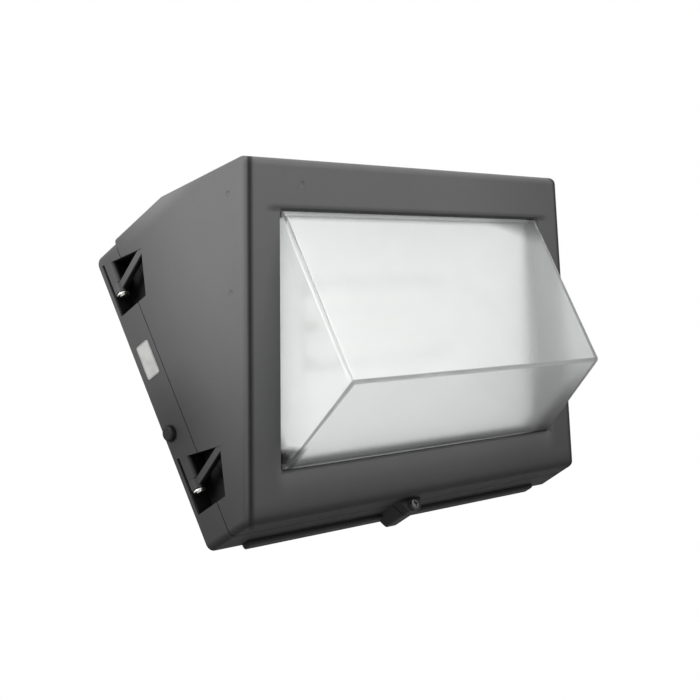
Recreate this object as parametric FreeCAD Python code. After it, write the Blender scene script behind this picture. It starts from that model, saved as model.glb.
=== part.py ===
import FreeCAD
import Part
import math
import os

# Wall pack light: a shallow back housing screwed to the wall, and a deep wedge-shaped front cover
# that carries a glass refractor and swings open on two hinges at the left edge.
#
# Millimetres. The wall is the plane y = 0 and the light stands out from it towards -Y.
# +Z is up, and the origin is the middle of the face that lies against the wall.

V = FreeCAD.Vector

# ---------------------------------------------------------------- body
WALL_WIDTH = 379.0              # width where the body meets the wall
SIDE_SLOPE = 0.1                # each side leans in by this much per mm of depth
BODY_HEIGHT = 233.0
FLAT_TOP_DEPTH = 76.0           # the top runs level this far from the wall
FRONT_TOP_DEPTH = 158.5         # depth of the body at the top of its face
FRONT_BOTTOM_DEPTH = 39.3       # depth of the body at the bottom of its face
TOP_DROP = 21.0                 # fall of the top from its level stretch to the face
COVER_WALL = 3.2
HOUSING_WALL = 4.0
BACK_PANEL = 3.2
SEAM_DEPTH = 23.0               # from the wall to the seam between housing and cover
SEAM_GAP = 0.6
FACE_EDGE_R = 6.0               # rounding of the edges of the face
TOP_BEND_R = 9.0
SIDE_EDGE_R = 5.0               # rounding of the edges that run back to the wall
HOUSING_TOP_R = 11.0            # the housing's two upper corners are rounder than the cover's
DRIP_HALF_WIDTH = 160.0         # low lip under the housing, along the wall
DRIP_DROP = 3.5
DRIP_DEPTH = 8.0
DRIP_EDGE_R = 2.0
DIMPLE_R = 2.2
DIMPLE_DEPTH = 0.8
SIDE_DIMPLES = ((25.8, 15.1), (55.7, 73.5))     # back from the top of the face, and down from it
FACE_DIMPLES = ((51.9, 18.9),)  # in from the side of the face, and down it
DIMPLE_BALL = 1.6               # radius of the ball that makes a dimple, as a share of the dimple's

# ---------------------------------------------------------------- seal at the seam
SEAL_SIDE_INSET = 18.0          # from the body's side to the seal
SEAL_END_INSET = 6.0            # from the body's top and bottom to the seal
SEAL_WIDTH = 6.0
SEAL_THICKNESS = 3.5
SEAL_SQUEEZE_GAP = 0.4          # drawn uncompressed by this much less than the seam
LEDGE_THICKNESS = 3.0
COVER_LIP = 3.0

# ---------------------------------------------------------------- face opening and refractor
OPENING_TOP = 37.0              # from the top of the face, down the slope, to the opening
OPENING_HEIGHT = 174.5
OPENING_MARGIN = 32.3           # from the sides of the face to the opening
OPENING_CORNER_R = 2.5
OPENING_LIP = 1.5               # bevel round the opening
GLASS_CLEARANCE = 1.0
GLASS_WALL = 4.0
GLASS_EDGE_R = 3.5
RIDGE_SHIFT = 0.3               # how far the inner ridge rises for each mm of wall
GLASS_FLANGE = 4.0
FLANGE_OVERLAP = 9.0            # how far the flange reaches behind the face
RIDGE_UP = 59.2                 # from the bottom of the opening, up the slope, to the refractor's ridge
RIDGE_OUT = 58.3                # from the face out to the ridge
RIDGE_LEAN = 1.0                # how far the glass's ends lean in at the ridge
GLASS_SEAL = 1.5
CLIP_X = 92.0
CLIP_WIDTH = 16.0
CLIP_THICKNESS = 1.5
CLIP_BOSS_R = 4.5
CLIP_BOSS_OFF = 6.0             # from the flange's edge to the middle of a boss
CLIP_SCREW_R = 2.0
CLIP_SCREW_LENGTH = 5.0
CLIP_GRIP = 5.4                 # how far a clip reaches over the flange

# ---------------------------------------------------------------- hinges
HINGE_AXIS_IN = 4.5             # from the body's side at the wall
HINGE_AXIS_DEPTH = 8.6
UPPER_HINGE_DROP = 33.0         # from the top of the body to the middle of the upper hinge
LOWER_HINGE_RISE = 45.5         # from the bottom of the body to the middle of the lower hinge
PIN_R = 2.5
PIN_RUNNING_FIT = 0.06
PIN_PRESS_FIT = 0.02
PIN_GRIP = 5.0                  # length of a pin inside the housing's boss
PIN_TAIL = 2.5                  # length below the cover's ear
PIN_EDGE = 0.6
KNUCKLE_R = 5.0
POCKET_IN = 15.0                # from the body's side at the wall to the inner wall of a hinge pocket
POCKET_DEPTH = 44.0             # depth from the wall of the pocket's front, at its ceiling
POCKET_FLOOR_DEPTH = 32.0       # and at its floor
POCKET_ABOVE = 23.0             # heights of the ceiling and the floor, from the middle of the hinge
POCKET_BELOW = 20.0
POCKET_FALL = 12.0              # fall of the ceiling from the wall to the pocket's front
POCKET_WALL = 3.0
EAR_BOTTOM = -4.0               # heights from the middle of the hinge
EAR_TOP = 3.0
EAR_BAR_START = -1.3            # height of the ear's bar at the pin
EAR_BAR_RISE = 13.1             # and its climb from there to the pocket's front
EAR_BAR_HALF = 2.4
EAR_BAR_THICKNESS = 5.0
EAR_BAR_INSET = 0.6             # the bar lies this far inside the body's side
HINGE_END_PLAY = 0.5
BOSS_RIB_HALF = 4.0             # half the thickness of the rib that ties the housing's boss to the pocket
CLIP_RING_R = 4.2
CLIP_RING = 1.0

# ---------------------------------------------------------------- closing screw
LATCH_X = -16.5
LATCH_HALF_ROOT = 13.0          # the lugs narrow from the body down to their lower edge
LATCH_HALF_LOW = 6.0
LATCH_DROP = 9.3                # how far the lugs hang below the body
LATCH_AXIS_DROP = 4.8
LATCH_CORNER_R = 3.0
LATCH_BACK = 2.0                # from the wall to the housing's lug
LATCH_FRONT = 30.0              # from the wall to the front of the cover's lug
LATCH_SCREW_R = 2.0
LATCH_HEAD_R = 3.6
LATCH_HEAD = 2.6
LATCH_SCREW_TIP = 12.0          # from the wall to the screw's tip
LATCH_SLIDE_FIT = 0.08
LATCH_SWING_ROOM = 1.0          # the housing's hole is this much larger, for the cover's swing
LATCH_WASHER = 1.0
LATCH_WASHER_R = 4.2

# ---------------------------------------------------------------- wall fixings and wiring
WALL_HOLE_R = 3.5
WALL_HOLE_SPACING_X = 280.0
WALL_HOLE_SPACING_Z = 160.0
BOX_HOLE_R = 2.4
BOX_HOLE_SPACING = 88.9
WIRE_HOLE_R = 11.0
GROMMET_BORE_R = 7.0
GROMMET_LIP_R = 14.0
GROMMET_LIP = 2.0
WIRE_HOLE_Z = 40.0              # the box screws lie level with it

# ---------------------------------------------------------------- blank label and cast nub at the side
LABEL_BELOW_HINGE = 60.0        # from the upper hinge down to the label
LABEL_DEPTH = 12.0
LABEL_HEIGHT = 26.0
LABEL_WIDTH = 13.0
LABEL_THICKNESS = 0.5
LABEL_CORNER_R = 2.0
NUB_ABOVE_HINGE = 40.0          # from the lower hinge up to the nub
NUB_DEPTH = 6.5
NUB_R = 5.5
NUB_OUT = 3.5
NUB_EDGE_R = 1.75

# ---------------------------------------------------------------- light engine
ENGINE_BEHIND = 52.0            # face of the heat sink, behind the face of the body
ENGINE_RAISE = 7.25             # the light engine sits this much above the middle of the opening
SINK_BESIDE_BOARD = 20.0
SINK_ABOVE_BOARD = 12.0
SINK_BASE = 5.0
FIN_COUNT = 11
FIN_THICKNESS = 1.8
FIN_LENGTH = 13.0
FIN_CLEAR_OF_ENDS = 16.0
BOARD_WIDTH = 150.0
BOARD_HEIGHT = 60.0
BOARD_THICKNESS = 1.6
CHIP_COLUMNS = 8
CHIP_ROWS = 3
CHIP_SIZE = 3.5
CHIP_HEIGHT = 0.9
CHIP_CLEAR_OF_CONNECTOR = 3.75
CHIP_CLEAR_OF_EDGE = 10.25      # from the board's long edges to the outer chips
ENGINE_SCREW_R = 1.5
ENGINE_SCREW_LENGTH = 5.0
BOARD_SCREW_IN = 5.0            # from the board's corner to its screw, each way
CONNECTOR_WIDTH = 9.0
CONNECTOR_HEIGHT = 6.0
CONNECTOR_DEPTH = 4.0
CONNECTOR_IN = 1.0              # from the end of the board
LEAD_HOLE_R = 4.5
LEAD_WAY_CLEARANCE = 0.8        # between the leads and a fin that they pass
REFLECTOR_SHEET = 1.0
REFLECTOR_BACK_MARGIN = 1.5     # the reflector's throat clears the board by this
REFLECTOR_MOUTH_IN = 3.0        # from the opening's sides in to the reflector's mouth
REFLECTOR_MOUTH_DOWN = 3.0      # from the opening's top down to the mouth
REFLECTOR_MOUTH_UP = 9.0        # from the opening's bottom up to the mouth
REFLECTOR_MOUTH_BEHIND = 14.0   # from the mouth to the face of the body
REFLECTOR_RIM = 5.0
REFLECTOR_TAB_REACH = 14.0      # the tabs that the reflector is screwed down by
REFLECTOR_TAB_HALF = 6.0
REFLECTOR_SCREW_IN = 5.0

# ---------------------------------------------------------------- brackets
BRACKET_SHEET = 2.0
BRACKET_FLANGE = 14.0
BRACKET_FOOT = 16.0
FOOT_BELOW_SINK = 31.0          # how far the foot reaches below the heat sink
POST_R = 6.0
POST_HEIGHT = 5.0
BRACKET_SCREW_R = 2.0
BRACKET_SCREW_LENGTH = 6.0

# ---------------------------------------------------------------- driver, surge protector, terminals
DRIVER_X = -38.0
DRIVER_RISE = 32.5              # from the bottom of the body to the middle of the driver
DRIVER_WIDTH = 130.0
DRIVER_HEIGHT = 36.0
DRIVER_DEPTH = 24.0
DRIVER_EAR = 12.0
DRIVER_EAR_SHEET = 2.0
CASE_EDGE_R = 2.0
SURGE_GAP = 28.0                # between the driver and the surge protector
SURGE_WIDTH = 46.0
SURGE_HEIGHT = 28.0
SURGE_DEPTH = 22.0
TERMINAL_OFFSET = 4.0           # the terminal block stands this far right of the surge protector
TERMINAL_DROP = 30.5            # from the top of the body to the middle of the terminal block
TERMINAL_PITCH = 11.0
TERMINAL_COUNT = 3
TERMINAL_HEIGHT = 20.0
TERMINAL_DEPTH = 14.0
TERMINAL_SCREW_R = 2.2
TERMINAL_SCREW_LENGTH = 5.0
TERMINAL_SCREW_HEAD = 1.2
TERMINAL_HOLE_DEPTH = 6.0
GROUND_X = 20.0
GROUND_DROP = 22.5
SMALL_SCREW_R = 1.8
SMALL_SCREW_LENGTH = 5.0
SCREW_FIT = 0.1
HEAD_WIDTH = 1.85               # radius and height of a small screw's head, as shares of its shank's radius
HEAD_HEIGHT = 1.2
HEAD_EDGE = 0.4                 # rounding of a head, as a share of its height
CROSS_HALF = 0.22               # the cross in a head, as shares of the head's radius and height
CROSS_REACH = 0.62
CROSS_DEPTH = 0.55
LEAD_R = 1.3
LEAD_BENDS = 0.45               # share of the shorter run that an arc takes
LEAD_PITCH = 4.4                # between the two leads of a pair
SUPPLY_LEAD_DEPTH = 15.0        # from the wall to the leads that run down the housing
SUPPLY_LEAD_STRAIGHT = 14.0     # straight out of the terminals, and each side of the clip
SURGE_LEAD_STRAIGHT = 20.0      # straight into the surge protector
BOARD_LEAD_TURN = 0.6           # share of the way up from the driver where the board's leads turn
GROUND_LEAD_START = 0.4         # shares of the ground lead's run before its two turns
GROUND_LEAD_END = 0.3
GROUND_LEAD_RISE = 3.0          # above the middle of the terminal block's end
DRIVER_LEAD_BOW = 3.0
LEAD_CLIP_RISE = 88.0           # from the driver up to the clip
LEAD_CLIP_HALF = 4.0
LEAD_CLIP_MARGIN = 4.0
LEAD_CLIP_COVER = 1.5           # over the leads
LUG_RING_R = 4.2
LUG_THICKNESS = 0.8
LUG_BARREL = 9.0
LUG_NECK = 2.0                  # between the ring and the barrel
LUG_NECK_HALF = 2.0

# ---------------------------------------------------------------- worked out from the sizes above
HALF_HEIGHT = BODY_HEIGHT / 2
FACE_TOP_Z = HALF_HEIGHT - TOP_DROP
FACE_RUN = FRONT_TOP_DEPTH - FRONT_BOTTOM_DEPTH
FACE_FALL = FACE_TOP_Z + HALF_HEIGHT
FACE_TILT = math.degrees(math.atan2(FACE_RUN, FACE_FALL))
SIDE_ANGLE = math.degrees(math.atan(SIDE_SLOPE))
HOUSING_FRONT = SEAM_DEPTH - SEAM_GAP / 2
COVER_BACK = SEAM_DEPTH + SEAM_GAP / 2
PANEL_FRONT = BACK_PANEL
POST_FRONT = BACK_PANEL + POST_HEIGHT
FLANGE_BACK = COVER_WALL + GLASS_SEAL + GLASS_FLANGE
BEYOND = 20.0                   # how far a cutting tool runs past what it cuts
HINGE_AXIS_X = -(WALL_WIDTH / 2 - HINGE_AXIS_IN)
POCKET_INNER_X = -(WALL_WIDTH / 2 - POCKET_IN)
UPPER_HINGE_Z = HALF_HEIGHT - UPPER_HINGE_DROP
LOWER_HINGE_Z = -HALF_HEIGHT + LOWER_HINGE_RISE
LABEL_Z = UPPER_HINGE_Z - LABEL_BELOW_HINGE
NUB_Z = LOWER_HINGE_Z + NUB_ABOVE_HINGE
RIDGE_DOWN = OPENING_TOP + OPENING_HEIGHT - RIDGE_UP
ENGINE_DOWN = OPENING_TOP + OPENING_HEIGHT / 2 - ENGINE_RAISE
DRIVER_Z = -HALF_HEIGHT + DRIVER_RISE
SURGE_X = DRIVER_X + DRIVER_WIDTH / 2 + SURGE_GAP + SURGE_WIDTH / 2
TERMINAL_X = SURGE_X + TERMINAL_OFFSET
TERMINAL_Z = HALF_HEIGHT - TERMINAL_DROP
GROUND_Z = HALF_HEIGHT - GROUND_DROP
LEAD_CLIP_Z = DRIVER_Z + LEAD_CLIP_RISE
SINK_WIDTH = BOARD_WIDTH + 2 * SINK_BESIDE_BOARD
SINK_HEIGHT = BOARD_HEIGHT + 2 * SINK_ABOVE_BOARD
HINGES = {"upper": UPPER_HINGE_Z, "lower": LOWER_HINGE_Z}


# ================================================================ shapes that are used again and again
def box(x_low, x_high, y_low, y_high, z_low, z_high):
    return Part.makeBox(x_high - x_low, y_high - y_low, z_high - z_low, V(x_low, y_low, z_low))


def prism(points, direction):
    wire = Part.makePolygon(points + points[:1])
    return Part.Face(wire).extrude(direction)


def rod(radius, start, end):
    axis = end - start
    return Part.makeCylinder(radius, axis.Length, start, axis)


def near(value, target, room=0.5):
    return abs(value - target) < room


def rounded(shape, radius, wanted):
    """Rounds the edges whose middle point passes the test."""
    edges = []
    for edge in shape.Edges:
        middle = edge.valueAt((edge.FirstParameter + edge.LastParameter) / 2)
        if wanted(middle):
            edges.append(edge)
    return shape.makeFillet(radius, edges)


def half_width(depth):
    return WALL_WIDTH / 2 - SIDE_SLOPE * depth


def body_block(inset, behind):
    """The body's wedge, taken in by inset on every side and run on behind the wall plane."""
    outline = [V(0, behind, HALF_HEIGHT), V(0, -FLAT_TOP_DEPTH, HALF_HEIGHT),
               V(0, -FRONT_TOP_DEPTH, FACE_TOP_Z), V(0, -FRONT_BOTTOM_DEPTH, -HALF_HEIGHT),
               V(0, behind, -HALF_HEIGHT)]
    face = Part.Face(Part.makePolygon(outline + outline[:1]))
    if inset:
        face = face.makeOffset2D(-inset, 2)
    side_view = face.extrude(V(WALL_WIDTH * 2, 0, 0))
    side_view.translate(V(-WALL_WIDTH, 0, 0))
    side_inset = inset * math.hypot(1, SIDE_SLOPE)
    reach = FRONT_TOP_DEPTH + BEYOND
    back_half = half_width(-behind) - side_inset
    front_half = half_width(reach) - side_inset
    plan = prism([V(-back_half, behind, -BODY_HEIGHT), V(-front_half, -reach, -BODY_HEIGHT),
                  V(front_half, -reach, -BODY_HEIGHT), V(back_half, behind, -BODY_HEIGHT)],
                 V(0, 0, BODY_HEIGHT * 2))
    return side_view.common(plan)


def slab(front_depth, back_depth):
    """Everything between two depths from the wall."""
    return box(-WALL_WIDTH, WALL_WIDTH, -front_depth, -back_depth, -BODY_HEIGHT, BODY_HEIGHT)


def on_face(shape):
    """Moves a shape drawn upright, with the face's top edge at the origin, onto the sloping face."""
    placed = shape.copy()
    placed.rotate(V(0, 0, 0), V(1, 0, 0), FACE_TILT)
    placed.translate(V(0, -FRONT_TOP_DEPTH, FACE_TOP_Z))
    return placed


def face_point(x, down, behind):
    """World position of a point given down the face and behind it."""
    tilt = math.radians(FACE_TILT)
    return V(x, -FRONT_TOP_DEPTH + down * math.sin(tilt) + behind * math.cos(tilt),
             FACE_TOP_Z - down * math.cos(tilt) + behind * math.sin(tilt))


def opening_half(down):
    """Half the opening's width at a distance down the face: its margin stays the same."""
    return half_width(FRONT_TOP_DEPTH - down * math.sin(math.radians(FACE_TILT))) - OPENING_MARGIN


def opening_block(grow, front, back, end_radius=0.0):
    """A block with the opening's outline, grown on all sides, upright, from front to back."""
    top = OPENING_TOP - grow
    bottom = OPENING_TOP + OPENING_HEIGHT + grow
    top_half = opening_half(top) + grow
    bottom_half = opening_half(bottom) + grow
    block = prism([V(-top_half, front, -top), V(top_half, front, -top),
                   V(bottom_half, front, -bottom), V(-bottom_half, front, -bottom)],
                  V(0, back - front, 0))
    if end_radius:
        block = rounded(block, end_radius, lambda p: near(p.y, (front + back) / 2, 0.01))
    return block


def screw(shank_r, shank_length, head_r, head_height):
    """A cross-head screw that points along +Y, with the underside of its head at the origin."""
    body = rod(shank_r, V(0, 0, 0), V(0, shank_length, 0))
    head = rod(head_r, V(0, -head_height, 0), V(0, 0, 0))
    head = rounded(head, head_height * HEAD_EDGE, lambda p: near(p.y, -head_height, 0.01))
    bar = head_r * CROSS_HALF
    arm = head_r * CROSS_REACH
    floor = -head_height * (1 - CROSS_DEPTH)
    cross = box(-arm, arm, -head_height - 1, floor, -bar, bar)
    cross = cross.fuse(box(-bar, bar, -head_height - 1, floor, -arm, arm))
    return head.fuse(body).removeSplitter().cut(cross)


def small_screw(shank_r, shank_length):
    return screw(shank_r, shank_length, shank_r * HEAD_WIDTH, shank_r * HEAD_HEIGHT)


def moved(shape, place):
    copy = shape.copy()
    copy.translate(place)
    return copy


def tube(points, radius):
    """A lead through the points: straight runs joined by tangent arcs."""
    edges = []
    start = points[0]
    for before, corner, after in zip(points, points[1:], points[2:]):
        back = (before - corner).normalize()
        forth = (after - corner).normalize()
        half_angle = back.getAngle(forth) / 2
        cut = LEAD_BENDS * min(before.distanceToPoint(corner), corner.distanceToPoint(after))
        enter = corner + back * cut
        leave = corner + forth * cut
        bend_r = cut * math.tan(half_angle)
        bisector = (back + forth).normalize()
        middle = corner + bisector * (cut / math.cos(half_angle) - bend_r)
        edges.append(Part.LineSegment(start, enter).toShape())
        edges.append(Part.Arc(enter, middle, leave).toShape())
        start = leave
    edges.append(Part.LineSegment(start, points[-1]).toShape())
    route = Part.Wire(edges)
    section = Part.Wire(Part.makeCircle(radius, points[0], points[1] - points[0]))
    return route.makePipeShell([section], True, False)


# ================================================================ back housing
def wall_holes():
    half_x = WALL_HOLE_SPACING_X / 2
    half_z = WALL_HOLE_SPACING_Z / 2
    return [V(x, 0, z) for x in (-half_x, half_x) for z in (-half_z, half_z)]


def box_holes():
    half = BOX_HOLE_SPACING / 2
    return [V(x, 0, WIRE_HOLE_Z) for x in (-half, half)]


def bracket_foot():
    """Lowest and highest point of a bracket's foot."""
    back = ENGINE_BEHIND + SINK_BASE
    top = face_point(0, ENGINE_DOWN - SINK_HEIGHT / 2, back)
    bottom = face_point(0, ENGINE_DOWN + SINK_HEIGHT / 2, back)
    return bottom.z - FOOT_BELOW_SINK, top.z


def bracket_posts():
    x = SINK_WIDTH / 2 + BRACKET_FOOT / 2
    low, high = bracket_foot()
    heights = (low + BRACKET_FOOT / 2, high - BRACKET_FOOT / 2)
    return [V(side * x, 0, z) for side in (-1, 1) for z in heights]


def driver_posts():
    reach = DRIVER_WIDTH / 2 + DRIVER_EAR / 2
    return [V(DRIVER_X + side * reach, 0, DRIVER_Z) for side in (-1, 1)]


def surge_post():
    return V(SURGE_X + SURGE_WIDTH / 2 + DRIVER_EAR / 2, 0, DRIVER_Z)


def terminal_posts():
    reach = TERMINAL_COUNT * TERMINAL_PITCH / 2 + DRIVER_EAR / 2
    return [V(TERMINAL_X + side * reach, 0, TERMINAL_Z) for side in (-1, 1)]


def pocket_ceiling(depth):
    """Height of a hinge pocket's ceiling above the middle of the hinge, at a depth from the wall."""
    return POCKET_ABOVE - POCKET_FALL * depth / POCKET_DEPTH


def hinge_pocket(z, grow):
    """The space at the body's left edge that a hinge sits in, grown by a wall; the back panel closes it."""
    outline = [V(0, -BACK_PANEL, z + pocket_ceiling(BACK_PANEL)),
               V(0, -POCKET_DEPTH, z + pocket_ceiling(POCKET_DEPTH)),
               V(0, -POCKET_FLOOR_DEPTH, z - POCKET_BELOW), V(0, -BACK_PANEL, z - POCKET_BELOW)]
    face = Part.Face(Part.makePolygon(outline + outline[:1]))
    if grow:
        face = face.makeOffset2D(grow, 2)
    return moved(face.extrude(V(WALL_WIDTH, 0, 0)), V(POCKET_INNER_X + grow - WALL_WIDTH, 0, 0))


def seal_ring(front_depth, back_depth, outer_grow=0.0, inner_grow=0.0):
    """A flat ring on the seal's line, between two depths."""
    half_x = WALL_WIDTH / 2 - SEAL_SIDE_INSET + outer_grow
    half_z = HALF_HEIGHT - SEAL_END_INSET + outer_grow
    inner_x = WALL_WIDTH / 2 - SEAL_SIDE_INSET - SEAL_WIDTH - inner_grow
    inner_z = HALF_HEIGHT - SEAL_END_INSET - SEAL_WIDTH - inner_grow
    ring = box(-half_x, half_x, -front_depth, -back_depth, -half_z, half_z)
    return ring.cut(box(-inner_x, inner_x, -front_depth - 1, -back_depth + 1, -inner_z, inner_z))


def latch_lug(front_depth, back_depth, hole_r):
    """A rounded lug under the body for the closing screw."""
    axis_z = -HALF_HEIGHT - LATCH_AXIS_DROP
    root_z = -HALF_HEIGHT + COVER_WALL / 2
    low_z = -HALF_HEIGHT - LATCH_DROP
    outline = [V(LATCH_X - LATCH_HALF_ROOT, -back_depth, root_z),
               V(LATCH_X + LATCH_HALF_ROOT, -back_depth, root_z),
               V(LATCH_X + LATCH_HALF_LOW, -back_depth, low_z),
               V(LATCH_X - LATCH_HALF_LOW, -back_depth, low_z)]
    lug = prism(outline, V(0, back_depth - front_depth, 0))

    def low_corner(p):
        return near(p.z, low_z, 0.01) and near(abs(p.x - LATCH_X), LATCH_HALF_LOW, 0.01)

    lug = rounded(lug, LATCH_CORNER_R, low_corner)
    hole = rod(hole_r, V(LATCH_X, -front_depth - 1, axis_z), V(LATCH_X, -back_depth + 1, axis_z))
    return lug, hole


def back_housing():
    outer = body_block(0, 0)
    outer = outer.common(slab(HOUSING_FRONT, 0))

    def runs_back(p, height):
        return near(p.z, height, 0.2) and near(abs(p.x), half_width(-p.y), 0.3)

    outer = rounded(outer, SIDE_EDGE_R, lambda p: runs_back(p, -HALF_HEIGHT))
    outer = rounded(outer, HOUSING_TOP_R, lambda p: runs_back(p, HALF_HEIGHT))
    room = body_block(HOUSING_WALL, BEYOND)
    room = room.common(slab(SEAM_DEPTH + BEYOND, PANEL_FRONT))
    for z in HINGES.values():
        room = room.cut(hinge_pocket(z, POCKET_WALL))
    shell = outer.cut(room)

    ledge_front = SEAM_DEPTH - SEAL_THICKNESS
    ledge = outer.common(slab(ledge_front, ledge_front - LEDGE_THICKNESS))
    inner_x = WALL_WIDTH / 2 - SEAL_SIDE_INSET - SEAL_WIDTH
    inner_z = HALF_HEIGHT - SEAL_END_INSET - SEAL_WIDTH
    ledge = ledge.cut(box(-inner_x, inner_x, -SEAM_DEPTH, 0, -inner_z, inner_z))
    shell = shell.fuse(ledge)
    for z in HINGES.values():
        shell = shell.cut(hinge_pocket(z, 0))

    posts = bracket_posts() + driver_posts() + [surge_post()] + terminal_posts()
    for post in posts:
        shell = shell.fuse(rod(POST_R, post + V(0, -PANEL_FRONT / 2, 0), post + V(0, -POST_FRONT, 0)))
    ground = V(GROUND_X, 0, GROUND_Z)
    shell = shell.fuse(rod(POST_R, ground + V(0, -PANEL_FRONT / 2, 0), ground + V(0, -POST_FRONT, 0)))

    for z in HINGES.values():
        boss, bore = hinge_boss(z)
        shell = shell.fuse(boss.common(outer)).cut(bore)

    shell = shell.fuse(drip_lip())
    lug, hole = latch_lug(HOUSING_FRONT, LATCH_BACK, LATCH_SCREW_R + LATCH_SWING_ROOM)
    shell = shell.fuse(lug).cut(hole)

    nub = rod(NUB_R, V(-half_width(NUB_DEPTH) + HOUSING_WALL / 2, -NUB_DEPTH, NUB_Z),
              V(-half_width(NUB_DEPTH) - NUB_OUT, -NUB_DEPTH, NUB_Z))
    nub = rounded(nub, NUB_EDGE_R, lambda p: near(p.x, -half_width(NUB_DEPTH) - NUB_OUT, 0.1))
    shell = shell.fuse(nub)

    holes = [(place, WALL_HOLE_R) for place in wall_holes()]
    holes += [(place, BOX_HOLE_R) for place in box_holes()]
    holes += [(V(0, 0, WIRE_HOLE_Z), WIRE_HOLE_R)]
    for place, radius in holes:
        shell = shell.cut(rod(radius, place + V(0, 1, 0), place + V(0, -PANEL_FRONT - 1, 0)))
    for post, radius, length in post_screws():
        tip = post + V(0, -POST_FRONT + length, 0)
        shell = shell.cut(rod(radius + SCREW_FIT, tip, post + V(0, -POST_FRONT - 1, 0)))
    return shell.removeSplitter()


def post_screws():
    """Each screwed post with the radius and depth of its hole."""
    small = driver_posts() + [surge_post()] + terminal_posts() + [V(GROUND_X, 0, GROUND_Z)]
    screws = [(post, BRACKET_SCREW_R, BRACKET_SCREW_LENGTH) for post in bracket_posts()]
    return screws + [(post, SMALL_SCREW_R, SMALL_SCREW_LENGTH) for post in small]


def drip_lip():
    """A low lip under the housing that runs along the wall."""
    low = -HALF_HEIGHT - DRIP_DROP
    lip = box(-DRIP_HALF_WIDTH, DRIP_HALF_WIDTH, -DRIP_DEPTH, 0, low, -HALF_HEIGHT + HOUSING_WALL / 2)
    return rounded(lip, DRIP_EDGE_R, lambda p: near(p.z, low, 0.01) and p.y < -DRIP_DEPTH / 3)


def housing_gasket():
    front = SEAM_DEPTH - SEAL_SQUEEZE_GAP + SEAM_GAP / 2
    return seal_ring(front, SEAM_DEPTH - SEAL_THICKNESS)


def wiring_grommet():
    place = V(0, 0, WIRE_HOLE_Z)
    neck = rod(WIRE_HOLE_R, place, place + V(0, -PANEL_FRONT - GROMMET_LIP, 0))
    lip = rod(GROMMET_LIP_R, place + V(0, -PANEL_FRONT, 0), place + V(0, -PANEL_FRONT - GROMMET_LIP, 0))
    bore = rod(GROMMET_BORE_R, place + V(0, 1, 0), place + V(0, -PANEL_FRONT - GROMMET_LIP - 1, 0))
    return neck.fuse(lip).removeSplitter().cut(bore)


def side_label():
    """A blank label that lies on the housing's left side."""
    half_y = LABEL_WIDTH / 2
    half_z = LABEL_HEIGHT / 2
    plate = box(-LABEL_THICKNESS, 0, -half_y, half_y, -half_z, half_z)

    def at_corner(p):
        return near(abs(p.y), half_y, 0.01) and near(abs(p.z), half_z, 0.01)

    plate = rounded(plate, LABEL_CORNER_R, at_corner)
    plate.rotate(V(0, 0, 0), V(0, 0, 1), SIDE_ANGLE)
    plate.translate(V(-half_width(LABEL_DEPTH), -LABEL_DEPTH, LABEL_Z))
    return plate


# ================================================================ hinges
def hinge_boss(z):
    """The housing's part of a hinge: a boss that hangs from the pocket's ceiling, and the pin's hole."""
    axis_y = -HINGE_AXIS_DEPTH
    low = z + EAR_TOP + HINGE_END_PLAY
    high = z + pocket_ceiling(HINGE_AXIS_DEPTH) + POCKET_WALL / 2
    boss = rod(KNUCKLE_R, V(HINGE_AXIS_X, axis_y, low), V(HINGE_AXIS_X, axis_y, high))
    rib = box(HINGE_AXIS_X, POCKET_INNER_X + POCKET_WALL / 2, axis_y - BOSS_RIB_HALF, axis_y + BOSS_RIB_HALF,
              low, high)
    mouth = V(HINGE_AXIS_X, axis_y, low)
    hole = rod(PIN_R + PIN_PRESS_FIT, mouth - V(0, 0, 1), mouth + V(0, 0, PIN_GRIP))
    return boss.fuse(rib), hole


def hinge_pin(z):
    """A plain pin pressed up into the housing's boss, which the cover's ear turns on."""
    axis_y = -HINGE_AXIS_DEPTH
    top = z + EAR_TOP + HINGE_END_PLAY + PIN_GRIP
    bottom = z + EAR_BOTTOM - PIN_TAIL
    pin = rod(PIN_R, V(HINGE_AXIS_X, axis_y, bottom), V(HINGE_AXIS_X, axis_y, top))
    return rounded(pin, PIN_EDGE, lambda p: near(p.z, bottom, 0.01))


def pin_clips():
    """A push-on ring on the lower end of each pin, which the cover's ear rests on."""
    rings = []
    for z in HINGES.values():
        top = V(HINGE_AXIS_X, -HINGE_AXIS_DEPTH, z + EAR_BOTTOM - HINGE_END_PLAY)
        ring = rod(CLIP_RING_R, top - V(0, 0, CLIP_RING), top)
        ring = ring.cut(rod(PIN_R + PIN_PRESS_FIT, top - V(0, 0, CLIP_RING + 1), top + V(0, 0, 1)))
        rings.append(ring)
    return Part.Compound(rings)


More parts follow.
